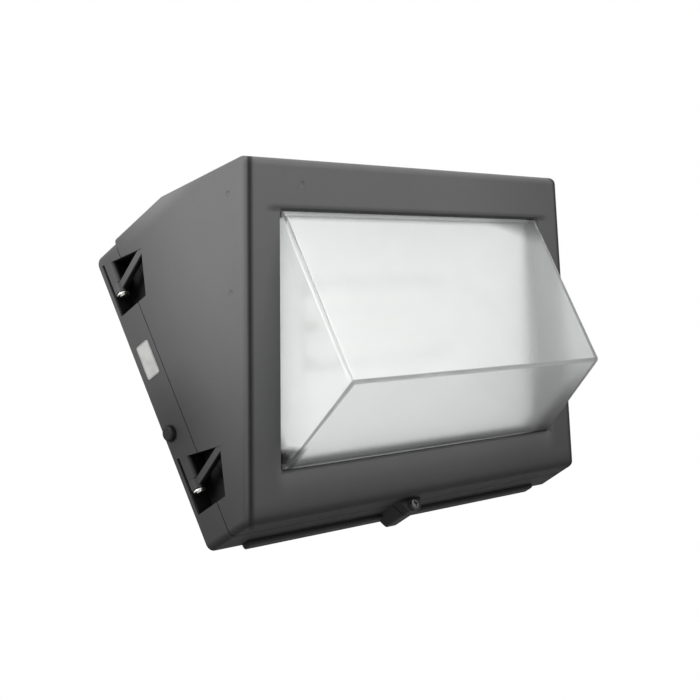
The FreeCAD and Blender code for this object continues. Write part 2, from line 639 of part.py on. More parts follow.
def cover_ear(z):
    """The cover's hinge ear: a knuckle round the pin, on a bar that climbs to the pocket's front."""
    axis_y = -HINGE_AXIS_DEPTH
    low = z + EAR_BOTTOM
    high = z + EAR_TOP
    knuckle = rod(KNUCKLE_R, V(HINGE_AXIS_X, axis_y, low), V(HINGE_AXIS_X, axis_y, high))
    front = POCKET_DEPTH + POCKET_WALL / 2
    start_z = z + EAR_BAR_START
    end_z = start_z + EAR_BAR_RISE
    side_view = prism([V(-WALL_WIDTH, axis_y, start_z - EAR_BAR_HALF),
                       V(-WALL_WIDTH, axis_y, start_z + EAR_BAR_HALF),
                       V(-WALL_WIDTH, -front, end_z + EAR_BAR_HALF),
                       V(-WALL_WIDTH, -front, end_z - EAR_BAR_HALF)], V(WALL_WIDTH, 0, 0))
    outer_start = EAR_BAR_INSET - half_width(HINGE_AXIS_DEPTH)
    outer_end = EAR_BAR_INSET - half_width(front)
    plan = prism([V(outer_start, axis_y, low), V(outer_end, -front, low),
                  V(outer_end + EAR_BAR_THICKNESS, -front, low),
                  V(outer_start + EAR_BAR_THICKNESS, axis_y, low)], V(0, 0, EAR_BAR_RISE * 2))
    bore = rod(PIN_R + PIN_RUNNING_FIT, V(HINGE_AXIS_X, axis_y, low - 1), V(HINGE_AXIS_X, axis_y, high + 1))
    return knuckle.fuse(side_view.common(plan)).cut(bore)


# ================================================================ front cover
def clip_places():
    """Each refractor clip: across, down the face, and which way the flange lies from its boss."""
    top = OPENING_TOP - FLANGE_OVERLAP - CLIP_BOSS_OFF
    bottom = OPENING_TOP + OPENING_HEIGHT + FLANGE_OVERLAP + CLIP_BOSS_OFF
    return [(side * CLIP_X, down, way) for side in (-1, 1) for down, way in ((top, -1), (bottom, 1))]


def dimple(place, outward):
    ball_r = DIMPLE_R * DIMPLE_BALL
    tool = Part.makeSphere(ball_r)
    tool.translate(place + outward * (ball_r - DIMPLE_DEPTH))
    return tool


def front_cover():
    outer = body_block(0, BEYOND)
    outer = round_body(outer)
    outer = outer.common(slab(FRONT_TOP_DEPTH + BEYOND, COVER_BACK))
    room = body_block(COVER_WALL, BEYOND)
    for z in HINGES.values():
        room = room.cut(hinge_pocket(z, POCKET_WALL))
    shell = outer.cut(room)
    lip_x = WALL_WIDTH / 2 - SEAL_SIDE_INSET - SEAL_WIDTH
    lip_z = HALF_HEIGHT - SEAL_END_INSET - SEAL_WIDTH
    lip = outer.common(slab(COVER_BACK + COVER_LIP, COVER_BACK))
    lip = lip.cut(box(-lip_x, lip_x, -WALL_WIDTH, 0, -lip_z, lip_z))
    shell = shell.fuse(lip)
    for z in HINGES.values():
        shell = shell.cut(hinge_pocket(z, 0))
        shell = shell.fuse(cover_ear(z))

    shell = shell.cut(on_face(opening_block(0, -BEYOND, COVER_WALL + 1, OPENING_CORNER_R)))
    shell = shell.cut(on_face(opening_bevel()))
    for x, down, way in clip_places():
        start = face_point(x, down, COVER_WALL / 2)
        end = face_point(x, down, FLANGE_BACK)
        tip = face_point(x, down, FLANGE_BACK + CLIP_THICKNESS - CLIP_SCREW_LENGTH)
        shell = shell.fuse(rod(CLIP_BOSS_R, start, end))
        shell = shell.cut(rod(CLIP_SCREW_R + SCREW_FIT, tip, face_point(x, down, FLANGE_BACK + 1)))

    lug, hole = latch_lug(LATCH_FRONT, COVER_BACK, LATCH_SCREW_R + LATCH_SLIDE_FIT)
    shell = shell.fuse(lug).cut(hole)
    for back, drop in SIDE_DIMPLES:
        depth = FRONT_TOP_DEPTH - back
        shell = shell.cut(dimple(V(-half_width(depth), -depth, FACE_TOP_Z - drop), V(-1, 0, 0)))
    face_out = face_point(0, 0, -1) - face_point(0, 0, 0)
    for inward, down in FACE_DIMPLES:
        side_x = -half_width(-face_point(0, down, 0).y)
        shell = shell.cut(dimple(face_point(side_x + inward, down, 0), face_out))
    return shell.removeSplitter()


def opening_bevel():
    """A tapered cutter that bevels the front edge of the opening."""
    front = opening_outline(OPENING_LIP, 0.0)
    back = opening_outline(0.0, OPENING_LIP)
    return Part.makeLoft([front, back], True, True)


def opening_outline(grow, y):
    top = OPENING_TOP - grow
    bottom = OPENING_TOP + OPENING_HEIGHT + grow
    top_half = opening_half(top) + grow
    bottom_half = opening_half(bottom) + grow
    points = [V(-top_half, y, -top), V(top_half, y, -top),
              V(bottom_half, y, -bottom), V(-bottom_half, y, -bottom)]
    return Part.makePolygon(points + points[:1])


def top_height(depth):
    """Height of the top of the body at a depth from the wall."""
    past = max(0.0, depth - FLAT_TOP_DEPTH)
    return HALF_HEIGHT - TOP_DROP * past / (FRONT_TOP_DEPTH - FLAT_TOP_DEPTH)


def round_body(block):
    """Rounds the face's edges, the bend of the top, and the edges that run back to the wall."""
    tilt = math.radians(FACE_TILT)

    def on_front(p):
        away = (p.y + FRONT_TOP_DEPTH) * math.cos(tilt) + (p.z - FACE_TOP_Z) * math.sin(tilt)
        return abs(away) < 0.2

    def at_bend(p):
        return near(p.y, -FLAT_TOP_DEPTH, 0.2) and near(p.x, 0, 1)

    def runs_back(p):
        at_side = near(abs(p.x), half_width(-p.y), 0.3)
        return at_side and (near(p.z, top_height(-p.y), 0.6) or near(p.z, -HALF_HEIGHT, 0.3))

    block = rounded(block, FACE_EDGE_R, on_front)
    block = rounded(block, TOP_BEND_R, at_bend)
    return rounded(block, SIDE_EDGE_R, runs_back)


# ================================================================ refractor
def ridge_prism(inset):
    """The refractor's wedge: a three-sided prism whose ends lean in a little towards the ridge."""
    grow = -GLASS_CLEARANCE - inset
    top = OPENING_TOP - grow
    bottom = OPENING_TOP + OPENING_HEIGHT + grow
    steep = math.hypot(RIDGE_DOWN - OPENING_TOP, RIDGE_OUT) / (RIDGE_DOWN - OPENING_TOP)
    out = RIDGE_OUT - inset * steep
    corner_t = [V(side * (opening_half(top) + grow), 0, -top) for side in (-1, 1)]
    corner_b = [V(side * (opening_half(bottom) + grow), 0, -bottom) for side in (-1, 1)]
    ridge_half = opening_half(OPENING_TOP) - GLASS_CLEARANCE - RIDGE_LEAN - inset
    ridge = [V(side * ridge_half, -out, -RIDGE_DOWN + inset * RIDGE_SHIFT) for side in (-1, 1)]
    faces = [[corner_t[0], corner_t[1], ridge[1], ridge[0]], [ridge[0], ridge[1], corner_b[1], corner_b[0]],
             [corner_t[0], ridge[0], corner_b[0]], [corner_t[1], ridge[1], corner_b[1]],
             [corner_t[0], corner_t[1], corner_b[1], corner_b[0]]]
    shell = Part.Shell([Part.Face(Part.makePolygon(f + f[:1])) for f in faces])
    solid = Part.Solid(shell)
    if solid.Volume < 0:
        solid.reverse()
    return solid


def refractor():
    wedge = ridge_prism(0.0)
    collar = opening_block(-GLASS_CLEARANCE, 0, FLANGE_BACK)
    flange = opening_block(FLANGE_OVERLAP, FLANGE_BACK - GLASS_FLANGE, FLANGE_BACK, OPENING_CORNER_R)
    hollow = ridge_prism(GLASS_WALL)
    throat = opening_block(-GLASS_CLEARANCE - GLASS_WALL, 0, FLANGE_BACK + 1)
    glass = rounded(wedge.fuse(collar).removeSplitter(), GLASS_EDGE_R, lambda p: p.y < -1)
    glass = glass.fuse(flange).removeSplitter()
    return on_face(glass.cut(hollow.fuse(throat)))


def refractor_gasket():
    ring = opening_block(FLANGE_OVERLAP, COVER_WALL, COVER_WALL + GLASS_SEAL, OPENING_CORNER_R)
    return on_face(ring.cut(opening_block(0, COVER_WALL - 1, COVER_WALL + GLASS_SEAL + 1)))


def refractor_clips():
    clips = []
    front = FLANGE_BACK
    back = FLANGE_BACK + CLIP_THICKNESS
    for x, down, way in clip_places():
        boss_end = -down + way * -CLIP_BOSS_R
        glass_end = -down + way * (CLIP_BOSS_OFF + CLIP_GRIP)
        low, high = sorted((boss_end, glass_end))
        clip = box(x - CLIP_WIDTH / 2, x + CLIP_WIDTH / 2, front, back, low, high)
        clip = clip.cut(rod(CLIP_SCREW_R + SCREW_FIT, V(x, front - 1, -down), V(x, back + 1, -down)))
        clips.append(on_face(clip))
    return Part.Compound(clips)


def refractor_clip_screws():
    screws = []
    for x, down, way in clip_places():
        piece = small_screw(CLIP_SCREW_R, CLIP_SCREW_LENGTH)
        piece.rotate(V(0, 0, 0), V(0, 0, 1), 180)
        piece.translate(V(x, FLANGE_BACK + CLIP_THICKNESS, -down))
        screws.append(on_face(piece))
    return Part.Compound(screws)


# ================================================================ closing screw
def closing_screw():
    axis_z = -HALF_HEIGHT - LATCH_AXIS_DROP
    seat = LATCH_FRONT + LATCH_WASHER
    piece = screw(LATCH_SCREW_R, seat - LATCH_SCREW_TIP, LATCH_HEAD_R, LATCH_HEAD)
    return moved(piece, V(LATCH_X, -seat, axis_z))


def closing_screw_washer():
    axis_z = -HALF_HEIGHT - LATCH_AXIS_DROP
    back = V(LATCH_X, -LATCH_FRONT, axis_z)
    front = back - V(0, LATCH_WASHER, 0)
    washer = rod(LATCH_WASHER_R, front, back)
    return washer.cut(rod(LATCH_SCREW_R + PIN_PRESS_FIT, front - V(0, 1, 0), back + V(0, 1, 0)))


# ================================================================ light engine
def engine_block(half_x, rise_low, rise_high, front, back):
    """An upright block placed about the middle of the light engine, with depths behind the face."""
    return box(-half_x, half_x, front, back, -ENGINE_DOWN + rise_low, -ENGINE_DOWN + rise_high)


def flange_screw_places():
    """Where the heat sink is screwed to the flanges of its brackets."""
    x = SINK_WIDTH / 2 - BRACKET_FLANGE / 2
    rise = SINK_HEIGHT / 2 - BRACKET_FLANGE / 2
    return [(side * x, r) for side in (-1, 1) for r in (-rise, rise)]


def board_screw_places():
    x = BOARD_WIDTH / 2 - BOARD_SCREW_IN
    rise = BOARD_HEIGHT / 2 - BOARD_SCREW_IN
    return [(side * x, r) for side in (-1, 1) for r in (-rise, rise)]


def through_engine(x, rise, radius, front, back):
    return rod(radius, V(x, front, -ENGINE_DOWN + rise), V(x, back, -ENGINE_DOWN + rise))


def heat_sink():
    half = SINK_WIDTH / 2
    back = ENGINE_BEHIND + SINK_BASE
    sink = engine_block(half, -SINK_HEIGHT / 2, SINK_HEIGHT / 2, ENGINE_BEHIND, back)
    for x in spread(half - FIN_CLEAR_OF_ENDS, FIN_COUNT):
        fin = box(x - FIN_THICKNESS / 2, x + FIN_THICKNESS / 2, back - SINK_BASE / 2, back + FIN_LENGTH,
                  -ENGINE_DOWN - SINK_HEIGHT / 2, -ENGINE_DOWN + SINK_HEIGHT / 2)
        sink = sink.fuse(fin)
    way_half = LEAD_PITCH / 2 + LEAD_R + LEAD_WAY_CLEARANCE
    lead_way = box(connector_x() - way_half, connector_x() + way_half, back, back + FIN_LENGTH + 1,
                   -ENGINE_DOWN - SINK_HEIGHT / 2 - 1, -ENGINE_DOWN + way_half)
    sink = sink.cut(lead_way)
    hole_r = ENGINE_SCREW_R + SCREW_FIT
    for x, rise in flange_screw_places():
        sink = sink.cut(through_engine(x, rise, hole_r, ENGINE_BEHIND - 1, back + 1))
    taken = [(place, BOARD_THICKNESS) for place in board_screw_places()]
    taken += [(place, REFLECTOR_SHEET) for place in reflector_screw_places()]
    for (x, rise), sheet in taken:
        depth = ENGINE_SCREW_LENGTH - sheet
        sink = sink.cut(through_engine(x, rise, hole_r, ENGINE_BEHIND - 1, ENGINE_BEHIND + depth))
    sink = sink.cut(through_engine(connector_x(), 0.0, LEAD_HOLE_R, ENGINE_BEHIND - 1, back + 1))
    return on_face(sink.removeSplitter())


def led_board():
    board = engine_block(BOARD_WIDTH / 2, -BOARD_HEIGHT / 2, BOARD_HEIGHT / 2,
                         ENGINE_BEHIND - BOARD_THICKNESS, ENGINE_BEHIND)
    for x, rise in board_screw_places():
        board = board.cut(through_engine(x, rise, ENGINE_SCREW_R + SCREW_FIT,
                                         ENGINE_BEHIND - BOARD_THICKNESS - 1, ENGINE_BEHIND + 1))
    return on_face(board)


def spread(reach, count):
    """Places spaced evenly from -reach to reach."""
    return [reach * (2 * number / (count - 1) - 1) for number in range(count)]


def led_chips():
    chips = []
    front = ENGINE_BEHIND - BOARD_THICKNESS
    half = CHIP_SIZE / 2
    reach_x = BOARD_WIDTH / 2 - CONNECTOR_IN - CONNECTOR_WIDTH - CHIP_CLEAR_OF_CONNECTOR - half
    reach_z = BOARD_HEIGHT / 2 - CHIP_CLEAR_OF_EDGE - half
    for x in spread(reach_x, CHIP_COLUMNS):
        for rise in spread(reach_z, CHIP_ROWS):
            z = -ENGINE_DOWN + rise
            chips.append(on_face(box(x - half, x + half, front - CHIP_HEIGHT, front, z - half, z + half)))
    return Part.Compound(chips)


def engine_screws(places, front, length):
    screws = []
    for x, rise in places:
        piece = small_screw(ENGINE_SCREW_R, length)
        piece.translate(V(x, front, -ENGINE_DOWN + rise))
        screws.append(on_face(piece))
    return Part.Compound(screws)


def led_board_screws():
    return engine_screws(board_screw_places(), ENGINE_BEHIND - BOARD_THICKNESS, ENGINE_SCREW_LENGTH)


def heat_sink_screws():
    return engine_screws(flange_screw_places(), ENGINE_BEHIND, SINK_BASE + BRACKET_SHEET + 1)


def reflector_mouth():
    """Half the width of the reflector's mouth, and its lower and upper edge from the engine's middle."""
    low = ENGINE_DOWN - OPENING_TOP - OPENING_HEIGHT + REFLECTOR_MOUTH_UP
    high = ENGINE_DOWN - OPENING_TOP - REFLECTOR_MOUTH_DOWN
    return opening_half(OPENING_TOP) - REFLECTOR_MOUTH_IN, low, high


def reflector_sheet(grow, front, back):
    """A solid four-sided funnel from the throat round the board to the mouth, grown on all sides."""
    throat_x = BOARD_WIDTH / 2 + REFLECTOR_BACK_MARGIN + grow
    throat_z = BOARD_HEIGHT / 2 + REFLECTOR_BACK_MARGIN + grow
    mouth_x, mouth_low, mouth_high = reflector_mouth()

    def ring(half_x, rise_low, rise_high, y):
        low = -ENGINE_DOWN + rise_low
        high = -ENGINE_DOWN + rise_high
        points = [V(-half_x, y, low), V(half_x, y, low), V(half_x, y, high), V(-half_x, y, high)]
        return Part.makePolygon(points + points[:1])

    throat = ring(throat_x, -throat_z, throat_z, back)
    mouth = ring(mouth_x + grow, mouth_low - grow, mouth_high + grow, front)
    return Part.makeLoft([throat, mouth], True, True)


def reflector_screw_places():
    x = BOARD_WIDTH / 2 + REFLECTOR_BACK_MARGIN + REFLECTOR_TAB_REACH - REFLECTOR_SCREW_IN
    return [(-x, 0.0), (x, 0.0)]


def reflector():
    back = ENGINE_BEHIND
    front = REFLECTOR_MOUTH_BEHIND
    funnel = reflector_sheet(REFLECTOR_SHEET, front, back)
    mouth_x, mouth_low, mouth_high = reflector_mouth()
    rim = engine_block(mouth_x + REFLECTOR_RIM, mouth_low - REFLECTOR_RIM, mouth_high + REFLECTOR_RIM,
                       front, front + REFLECTOR_SHEET)
    tab_reach = BOARD_WIDTH / 2 + REFLECTOR_BACK_MARGIN + REFLECTOR_TAB_REACH
    tabs = engine_block(tab_reach, -REFLECTOR_TAB_HALF, REFLECTOR_TAB_HALF, back - REFLECTOR_SHEET, back)
    whole = funnel.fuse(rim).fuse(tabs)
    hole_r = ENGINE_SCREW_R + SCREW_FIT
    for x, rise in reflector_screw_places():
        whole = whole.cut(through_engine(x, rise, hole_r, back - REFLECTOR_SHEET - 1, back + 1))
    return on_face(whole.cut(reflector_sheet(0.0, front, back)).removeSplitter())


def reflector_screws():
    return engine_screws(reflector_screw_places(), ENGINE_BEHIND - REFLECTOR_SHEET, ENGINE_SCREW_LENGTH)


def connector_x():
    return -BOARD_WIDTH / 2 + CONNECTOR_WIDTH / 2 + CONNECTOR_IN


def led_connector():
    """The plug-in block at the board's left end that the two driver leads go into from behind."""
    x = connector_x()
    front = ENGINE_BEHIND - BOARD_THICKNESS - CONNECTOR_DEPTH
    block = box(x - CONNECTOR_WIDTH / 2, x + CONNECTOR_WIDTH / 2, front, ENGINE_BEHIND - BOARD_THICKNESS,
                -ENGINE_DOWN - CONNECTOR_HEIGHT / 2, -ENGINE_DOWN + CONNECTOR_HEIGHT / 2)
    return on_face(block)


# ================================================================ brackets
def engine_bracket(side):
    """Bent sheet: a sloping flange under the heat sink, a cheek, and a foot on the housing's posts."""
    half = SINK_WIDTH / 2
    back = ENGINE_BEHIND + SINK_BASE
    flange = box(half - BRACKET_FLANGE, half + BRACKET_SHEET, back, back + BRACKET_SHEET,
                 -ENGINE_DOWN - SINK_HEIGHT / 2, -ENGINE_DOWN + SINK_HEIGHT / 2)
    hole_r = ENGINE_SCREW_R + SCREW_FIT
    for x, rise in flange_screw_places():
        flange = flange.cut(through_engine(x, rise, hole_r, back - 1, back + BRACKET_SHEET + 1))
    flange = on_face(flange)
    top = face_point(0, ENGINE_DOWN - SINK_HEIGHT / 2, back)
    bottom = face_point(0, ENGINE_DOWN + SINK_HEIGHT / 2, back)
    foot_y = -POST_FRONT
    low, high = bracket_foot()
    cheek = prism([V(half, top.y, top.z), V(half, bottom.y, bottom.z),
                   V(half, foot_y, low), V(half, foot_y, high)], V(BRACKET_SHEET, 0, 0))
    foot = box(half, half + BRACKET_FOOT, foot_y - BRACKET_SHEET, foot_y, low, high)
    bracket = flange.fuse(cheek).fuse(foot)
    for post in bracket_posts():
        if post.x > 0:
            before = post + V(0, -POST_FRONT - BRACKET_SHEET - 1, 0)
            bracket = bracket.cut(rod(BRACKET_SCREW_R + SCREW_FIT, before, post + V(0, -POST_FRONT + 1, 0)))
    bracket = bracket.removeSplitter()
    if side < 0:
        bracket = bracket.mirror(V(0, 0, 0), V(1, 0, 0))
    return bracket


def post_screw_group(posts, shank_r, length, sheet):
    """Screws that hold a sheet down on the housing's posts."""
    piece = small_screw(shank_r, length + sheet)
    return Part.Compound([moved(piece, post + V(0, -POST_FRONT - sheet, 0)) for post in posts])


def bracket_screws():
    return post_screw_group(bracket_posts(), BRACKET_SCREW_R, BRACKET_SCREW_LENGTH, BRACKET_SHEET)


# ================================================================ driver, surge protector, terminals
def eared_box(x, z, width, height, depth, ears):
    """A boxed unit whose ears, at the ends named, lie on the housing's posts."""
    back = -POST_FRONT
    case = box(x - width / 2, x + width / 2, back - depth, back, z - height / 2, z + height / 2)
    case = rounded(case, CASE_EDGE_R, lambda p: near(p.y, back - depth, 0.01))
    for side in ears:
        outer = x + side * (width / 2 + DRIVER_EAR)
        inner = x + side * (width / 2 - 1)
        ear = box(min(outer, inner), max(outer, inner), back - DRIVER_EAR_SHEET, back, z - POST_R, z + POST_R)
        post = V(x + side * (width / 2 + DRIVER_EAR / 2), 0, z)
        before = post + V(0, back - DRIVER_EAR_SHEET - 1, 0)
        ear = ear.cut(rod(SMALL_SCREW_R + SCREW_FIT, before, post + V(0, back + 1, 0)))
        case = case.fuse(ear)
    return case.removeSplitter()


def driver_case():
    return eared_box(DRIVER_X, DRIVER_Z, DRIVER_WIDTH, DRIVER_HEIGHT, DRIVER_DEPTH, (-1, 1))


def surge_protector():
    return eared_box(SURGE_X, DRIVER_Z, SURGE_WIDTH, SURGE_HEIGHT, SURGE_DEPTH, (1,))


def terminal_places():
    """The middle of each terminal, on the front of the block."""
    reach = (TERMINAL_COUNT - 1) * TERMINAL_PITCH / 2
    front = -POST_FRONT - TERMINAL_DEPTH
    return [V(TERMINAL_X + x, front, TERMINAL_Z) for x in spread(reach, TERMINAL_COUNT)]


def terminal_block():
    width = TERMINAL_COUNT * TERMINAL_PITCH
    block = eared_box(TERMINAL_X, TERMINAL_Z, width, TERMINAL_HEIGHT, TERMINAL_DEPTH, (-1, 1))
    for place in terminal_places():
        floor = place + V(0, TERMINAL_HOLE_DEPTH, 0)
        block = block.cut(rod(TERMINAL_SCREW_R + SCREW_FIT, place - V(0, 1, 0), floor))
    return block


def terminal_screws():
    head_r = TERMINAL_SCREW_R + TERMINAL_SCREW_HEAD
    piece = screw(TERMINAL_SCREW_R, TERMINAL_SCREW_LENGTH, head_r, TERMINAL_SCREW_HEAD)
    return Part.Compound([moved(piece, place) for place in terminal_places()])


def unit_screws(posts):
    return post_screw_group(posts, SMALL_SCREW_R, SMALL_SCREW_LENGTH, DRIVER_EAR_SHEET)


def ground_screw():
    return post_screw_group([V(GROUND_X, 0, GROUND_Z)], SMALL_SCREW_R, SMALL_SCREW_LENGTH, LUG_THICKNESS)


# ================================================================ leads
def board_lead(offset):
    """From the back of the board, through the heat sink and between two fins, down into the driver."""
    x = connector_x() + offset
    start = face_point(x, ENGINE_DOWN, ENGINE_BEHIND)
    behind = face_point(x, ENGINE_DOWN, ENGINE_BEHIND + SINK_BASE + FIN_LENGTH)
    driver_top = DRIVER_Z + DRIVER_HEIGHT / 2
    drop_y = -POST_FRONT - DRIVER_DEPTH / 2
    above = V(x, drop_y, driver_top + (behind.z - driver_top) * BOARD_LEAD_TURN)
    return tube([start, behind, above, V(x, drop_y, driver_top)], LEAD_R)


def supply_lead(terminal_x, unit_x):
    """From the terminal block's underside straight down the housing to the surge protector."""
    top = TERMINAL_Z - TERMINAL_HEIGHT / 2
    bottom = DRIVER_Z + SURGE_HEIGHT / 2
    y = -SUPPLY_LEAD_DEPTH
    middle_x = (terminal_x + unit_x) / 2
    straight = SUPPLY_LEAD_STRAIGHT
    return tube([V(terminal_x, y, top), V(terminal_x, y, top - straight),
                 V(middle_x, y, LEAD_CLIP_Z + straight), V(middle_x, y, LEAD_CLIP_Z - straight),
                 V(unit_x, y, bottom + SURGE_LEAD_STRAIGHT), V(unit_x, y, bottom)], LEAD_R)


def supply_lead_ends():
    """Across, at the first two terminals and at the surge protector."""
    terminals = terminal_places()[:2]
    return [(place.x, SURGE_X + side * LEAD_PITCH) for place, side in zip(terminals, (-1, 1))]


def lead_clip():
    """A moulded saddle on the back panel that holds the two supply leads."""
    middles = [(a + b) / 2 for a, b in supply_lead_ends()]
    low = min(middles) - LEAD_CLIP_MARGIN
    high = max(middles) + LEAD_CLIP_MARGIN
    front = SUPPLY_LEAD_DEPTH + LEAD_R + LEAD_CLIP_COVER
    bottom = LEAD_CLIP_Z - LEAD_CLIP_HALF
    top = LEAD_CLIP_Z + LEAD_CLIP_HALF
    clip = box(low, high, -front, -PANEL_FRONT, bottom, top)
    y = -SUPPLY_LEAD_DEPTH
    for x in middles:
        clip = clip.cut(rod(LEAD_R + SCREW_FIT, V(x, y, bottom - 1), V(x, y, top + 1)))
    return clip


def driver_lead(offset):
    """From the surge protector's end, in front of the driver's ear, into the driver's end."""
    start = V(SURGE_X - SURGE_WIDTH / 2, -POST_FRONT - SURGE_DEPTH / 2, DRIVER_Z + offset)
    end = V(DRIVER_X + DRIVER_WIDTH / 2, start.y, DRIVER_Z + offset)
    quarter = V((start.x - end.x) / 4, 0, 0)
    bow = V(0, -DRIVER_LEAD_BOW, 0)
    return tube([start, start - quarter, (start + end) / 2 + bow, end + quarter, end], LEAD_R)


def lug_barrel():
    """Where the ground lug's barrel starts."""
    return V(GROUND_X + LUG_RING_R + LUG_NECK, -POST_FRONT - LEAD_R - LUG_THICKNESS, GROUND_Z)


def ground_lug():
    """A ring that lies under the ground screw's head, with the barrel that the lead is crimped in."""
    place = V(GROUND_X, -POST_FRONT, GROUND_Z)
    sheet = V(0, LUG_THICKNESS, 0)
    start = lug_barrel()
    ring = rod(LUG_RING_R, place, place - sheet)
    neck = box(place.x, start.x + LUG_NECK_HALF, place.y - LUG_THICKNESS, place.y,
               place.z - LUG_NECK_HALF, place.z + LUG_NECK_HALF)
    barrel = rod(LEAD_R + LUG_THICKNESS, start, start + V(LUG_BARREL, 0, 0))
    hole = rod(SMALL_SCREW_R + SCREW_FIT, place + sheet, place - sheet * 3)
    return ring.fuse(neck).fuse(barrel).cut(hole).removeSplitter()


def ground_lead():
    """From the terminal block's left end to the ground lug's barrel."""
    end = lug_barrel() + V(LUG_BARREL, 0, 0)
    start = V(TERMINAL_X - TERMINAL_COUNT * TERMINAL_PITCH / 2, -POST_FRONT - TERMINAL_DEPTH / 2,
              TERMINAL_Z + GROUND_LEAD_RISE)
    run = start.x - end.x
    return tube([start, start - V(run * GROUND_LEAD_START, 0, 0),
                 end + V(run * GROUND_LEAD_END, 0, 0), end], LEAD_R)


def main():
    supply_ends = supply_lead_ends()
    parts = {
        "back_housing": back_housing(),
        "housing_gasket": housing_gasket(),
        "wiring_grommet": wiring_grommet(),
        "side_label": side_label(),
        "hinge_pin_upper": hinge_pin(UPPER_HINGE_Z),
        "hinge_pin_lower": hinge_pin(LOWER_HINGE_Z),
        "hinge_pin_clips": pin_clips(),
        "front_cover": front_cover(),
        "refractor": refractor(),
        "refractor_gasket": refractor_gasket(),
        "refractor_clips": refractor_clips(),
        "refractor_clip_screws": refractor_clip_screws(),
        "closing_screw": closing_screw(),
        "closing_screw_washer": closing_screw_washer(),
        "heat_sink": heat_sink(),
        "heat_sink_screws": heat_sink_screws(),
        "led_board": led_board(),
        "led_chips": led_chips(),
        "led_board_screws": led_board_screws(),
        "led_connector": led_connector(),
        "reflector": reflector(),
        "reflector_screws": reflector_screws(),
        "bracket_left": engine_bracket(-1),
        "bracket_right": engine_bracket(1),
        "bracket_screws": bracket_screws(),
        "driver_case": driver_case(),
        "driver_screws": unit_screws(driver_posts()),
        "surge_protector": surge_protector(),
        "surge_protector_screw": unit_screws([surge_post()]),
        "terminal_block": terminal_block(),
        "terminal_screws": terminal_screws(),
        "terminal_block_screws": unit_screws(terminal_posts()),
        "ground_screw": ground_screw(),
        "ground_lug": ground_lug(),
        "ground_lead": ground_lead(),
        "board_lead_positive": board_lead(-LEAD_PITCH / 2),
        "board_lead_negative": board_lead(LEAD_PITCH / 2),
        "supply_lead_line": supply_lead(*supply_ends[0]),
        "supply_lead_neutral": supply_lead(*supply_ends[1]),
        "driver_lead_line": driver_lead(LEAD_PITCH),
        "driver_lead_neutral": driver_lead(-LEAD_PITCH),
        "lead_clip": lead_clip(),
    }
    os.makedirs("parts", exist_ok=True)
    for name, shape in parts.items():
        solids = shape.Solids
        volume = sum(solid.Volume for solid in solids) / 1000
        print(name, len(solids), "solids", round(volume, 2), "cm3", shape.isValid())
        shape.exportStep("parts/" + name + ".step")


main()
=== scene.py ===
import math

import bpy
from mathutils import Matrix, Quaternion, Vector


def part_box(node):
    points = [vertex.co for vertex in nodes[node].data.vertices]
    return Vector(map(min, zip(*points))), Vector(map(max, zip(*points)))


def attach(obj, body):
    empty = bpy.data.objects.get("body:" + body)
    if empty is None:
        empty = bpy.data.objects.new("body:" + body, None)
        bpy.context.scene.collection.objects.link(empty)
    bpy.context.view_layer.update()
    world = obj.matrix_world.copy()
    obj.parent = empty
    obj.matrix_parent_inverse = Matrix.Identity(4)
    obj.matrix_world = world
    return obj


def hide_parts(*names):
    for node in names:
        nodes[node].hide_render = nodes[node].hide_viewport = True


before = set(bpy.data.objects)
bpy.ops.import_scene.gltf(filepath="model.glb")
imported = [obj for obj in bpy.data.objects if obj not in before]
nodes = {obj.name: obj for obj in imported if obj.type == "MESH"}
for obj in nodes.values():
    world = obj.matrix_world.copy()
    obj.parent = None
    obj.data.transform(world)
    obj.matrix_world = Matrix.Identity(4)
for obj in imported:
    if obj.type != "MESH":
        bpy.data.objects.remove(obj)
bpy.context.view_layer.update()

# ---------------------------------------------------------------- camera
# The photographer stood low and to the left of the light and looked up at it, with the camera rolled
# to the right.
CAMERA_PLACE = Vector((-0.7603, -0.6787, -0.3179))
CAMERA_TARGET = Vector((-0.0646, -0.0775, -0.0130))
CAMERA_ROLL = math.radians(24.0)
CAMERA_LENS = 69.2
SENSOR_WIDTH = 36.0
camera_data = bpy.data.cameras.new("camera")
camera_data.lens = CAMERA_LENS
camera_data.sensor_width = SENSOR_WIDTH
camera = bpy.data.objects.new("camera", camera_data)
bpy.context.scene.collection.objects.link(camera)
camera.location = CAMERA_PLACE
camera.rotation_mode = "QUATERNION"
facing = (CAMERA_TARGET - CAMERA_PLACE).to_track_quat("-Z", "Y")
camera.rotation_quaternion = facing @ Quaternion((0.0, 0.0, 1.0), -CAMERA_ROLL)
bpy.context.scene.camera = camera
bpy.context.scene.view_settings.view_transform = "Standard"


# ---------------------------------------------------------------- studio
# A pale floor well under the light, a white surround and three soft lamps. The main lamp stands far to
# the left, so that the side is paler than the sloping face.
class Flow:
    """A shader socket that takes part in Python expressions."""

    def __init__(self, tree, socket):
        self.tree = tree
        self.socket = socket

    def math(self, operation, *values):
        node = self.tree.nodes.new("ShaderNodeMath")
        node.operation = operation
        for slot, value in zip(node.inputs, values):
            Shader.feed(self.tree, slot, value)
        return Flow(self.tree, node.outputs[0])

    def __add__(self, other):
        return self.math("ADD", self, other)

    def __radd__(self, other):
        return self.math("ADD", other, self)

    def __sub__(self, other):
        return self.math("SUBTRACT", self, other)

    def __rsub__(self, other):
        return self.math("SUBTRACT", other, self)

    def __mul__(self, other):
        return self.math("MULTIPLY", self, other)

    def __rmul__(self, other):
        return self.math("MULTIPLY", other, self)

    def __truediv__(self, other):
        return self.math("DIVIDE", self, other)

    def __pow__(self, other):
        return self.math("POWER", self, other)

    def __neg__(self):
        return self.math("MULTIPLY", self, -1.0)

    def __abs__(self):
        return self.math("ABSOLUTE", self)


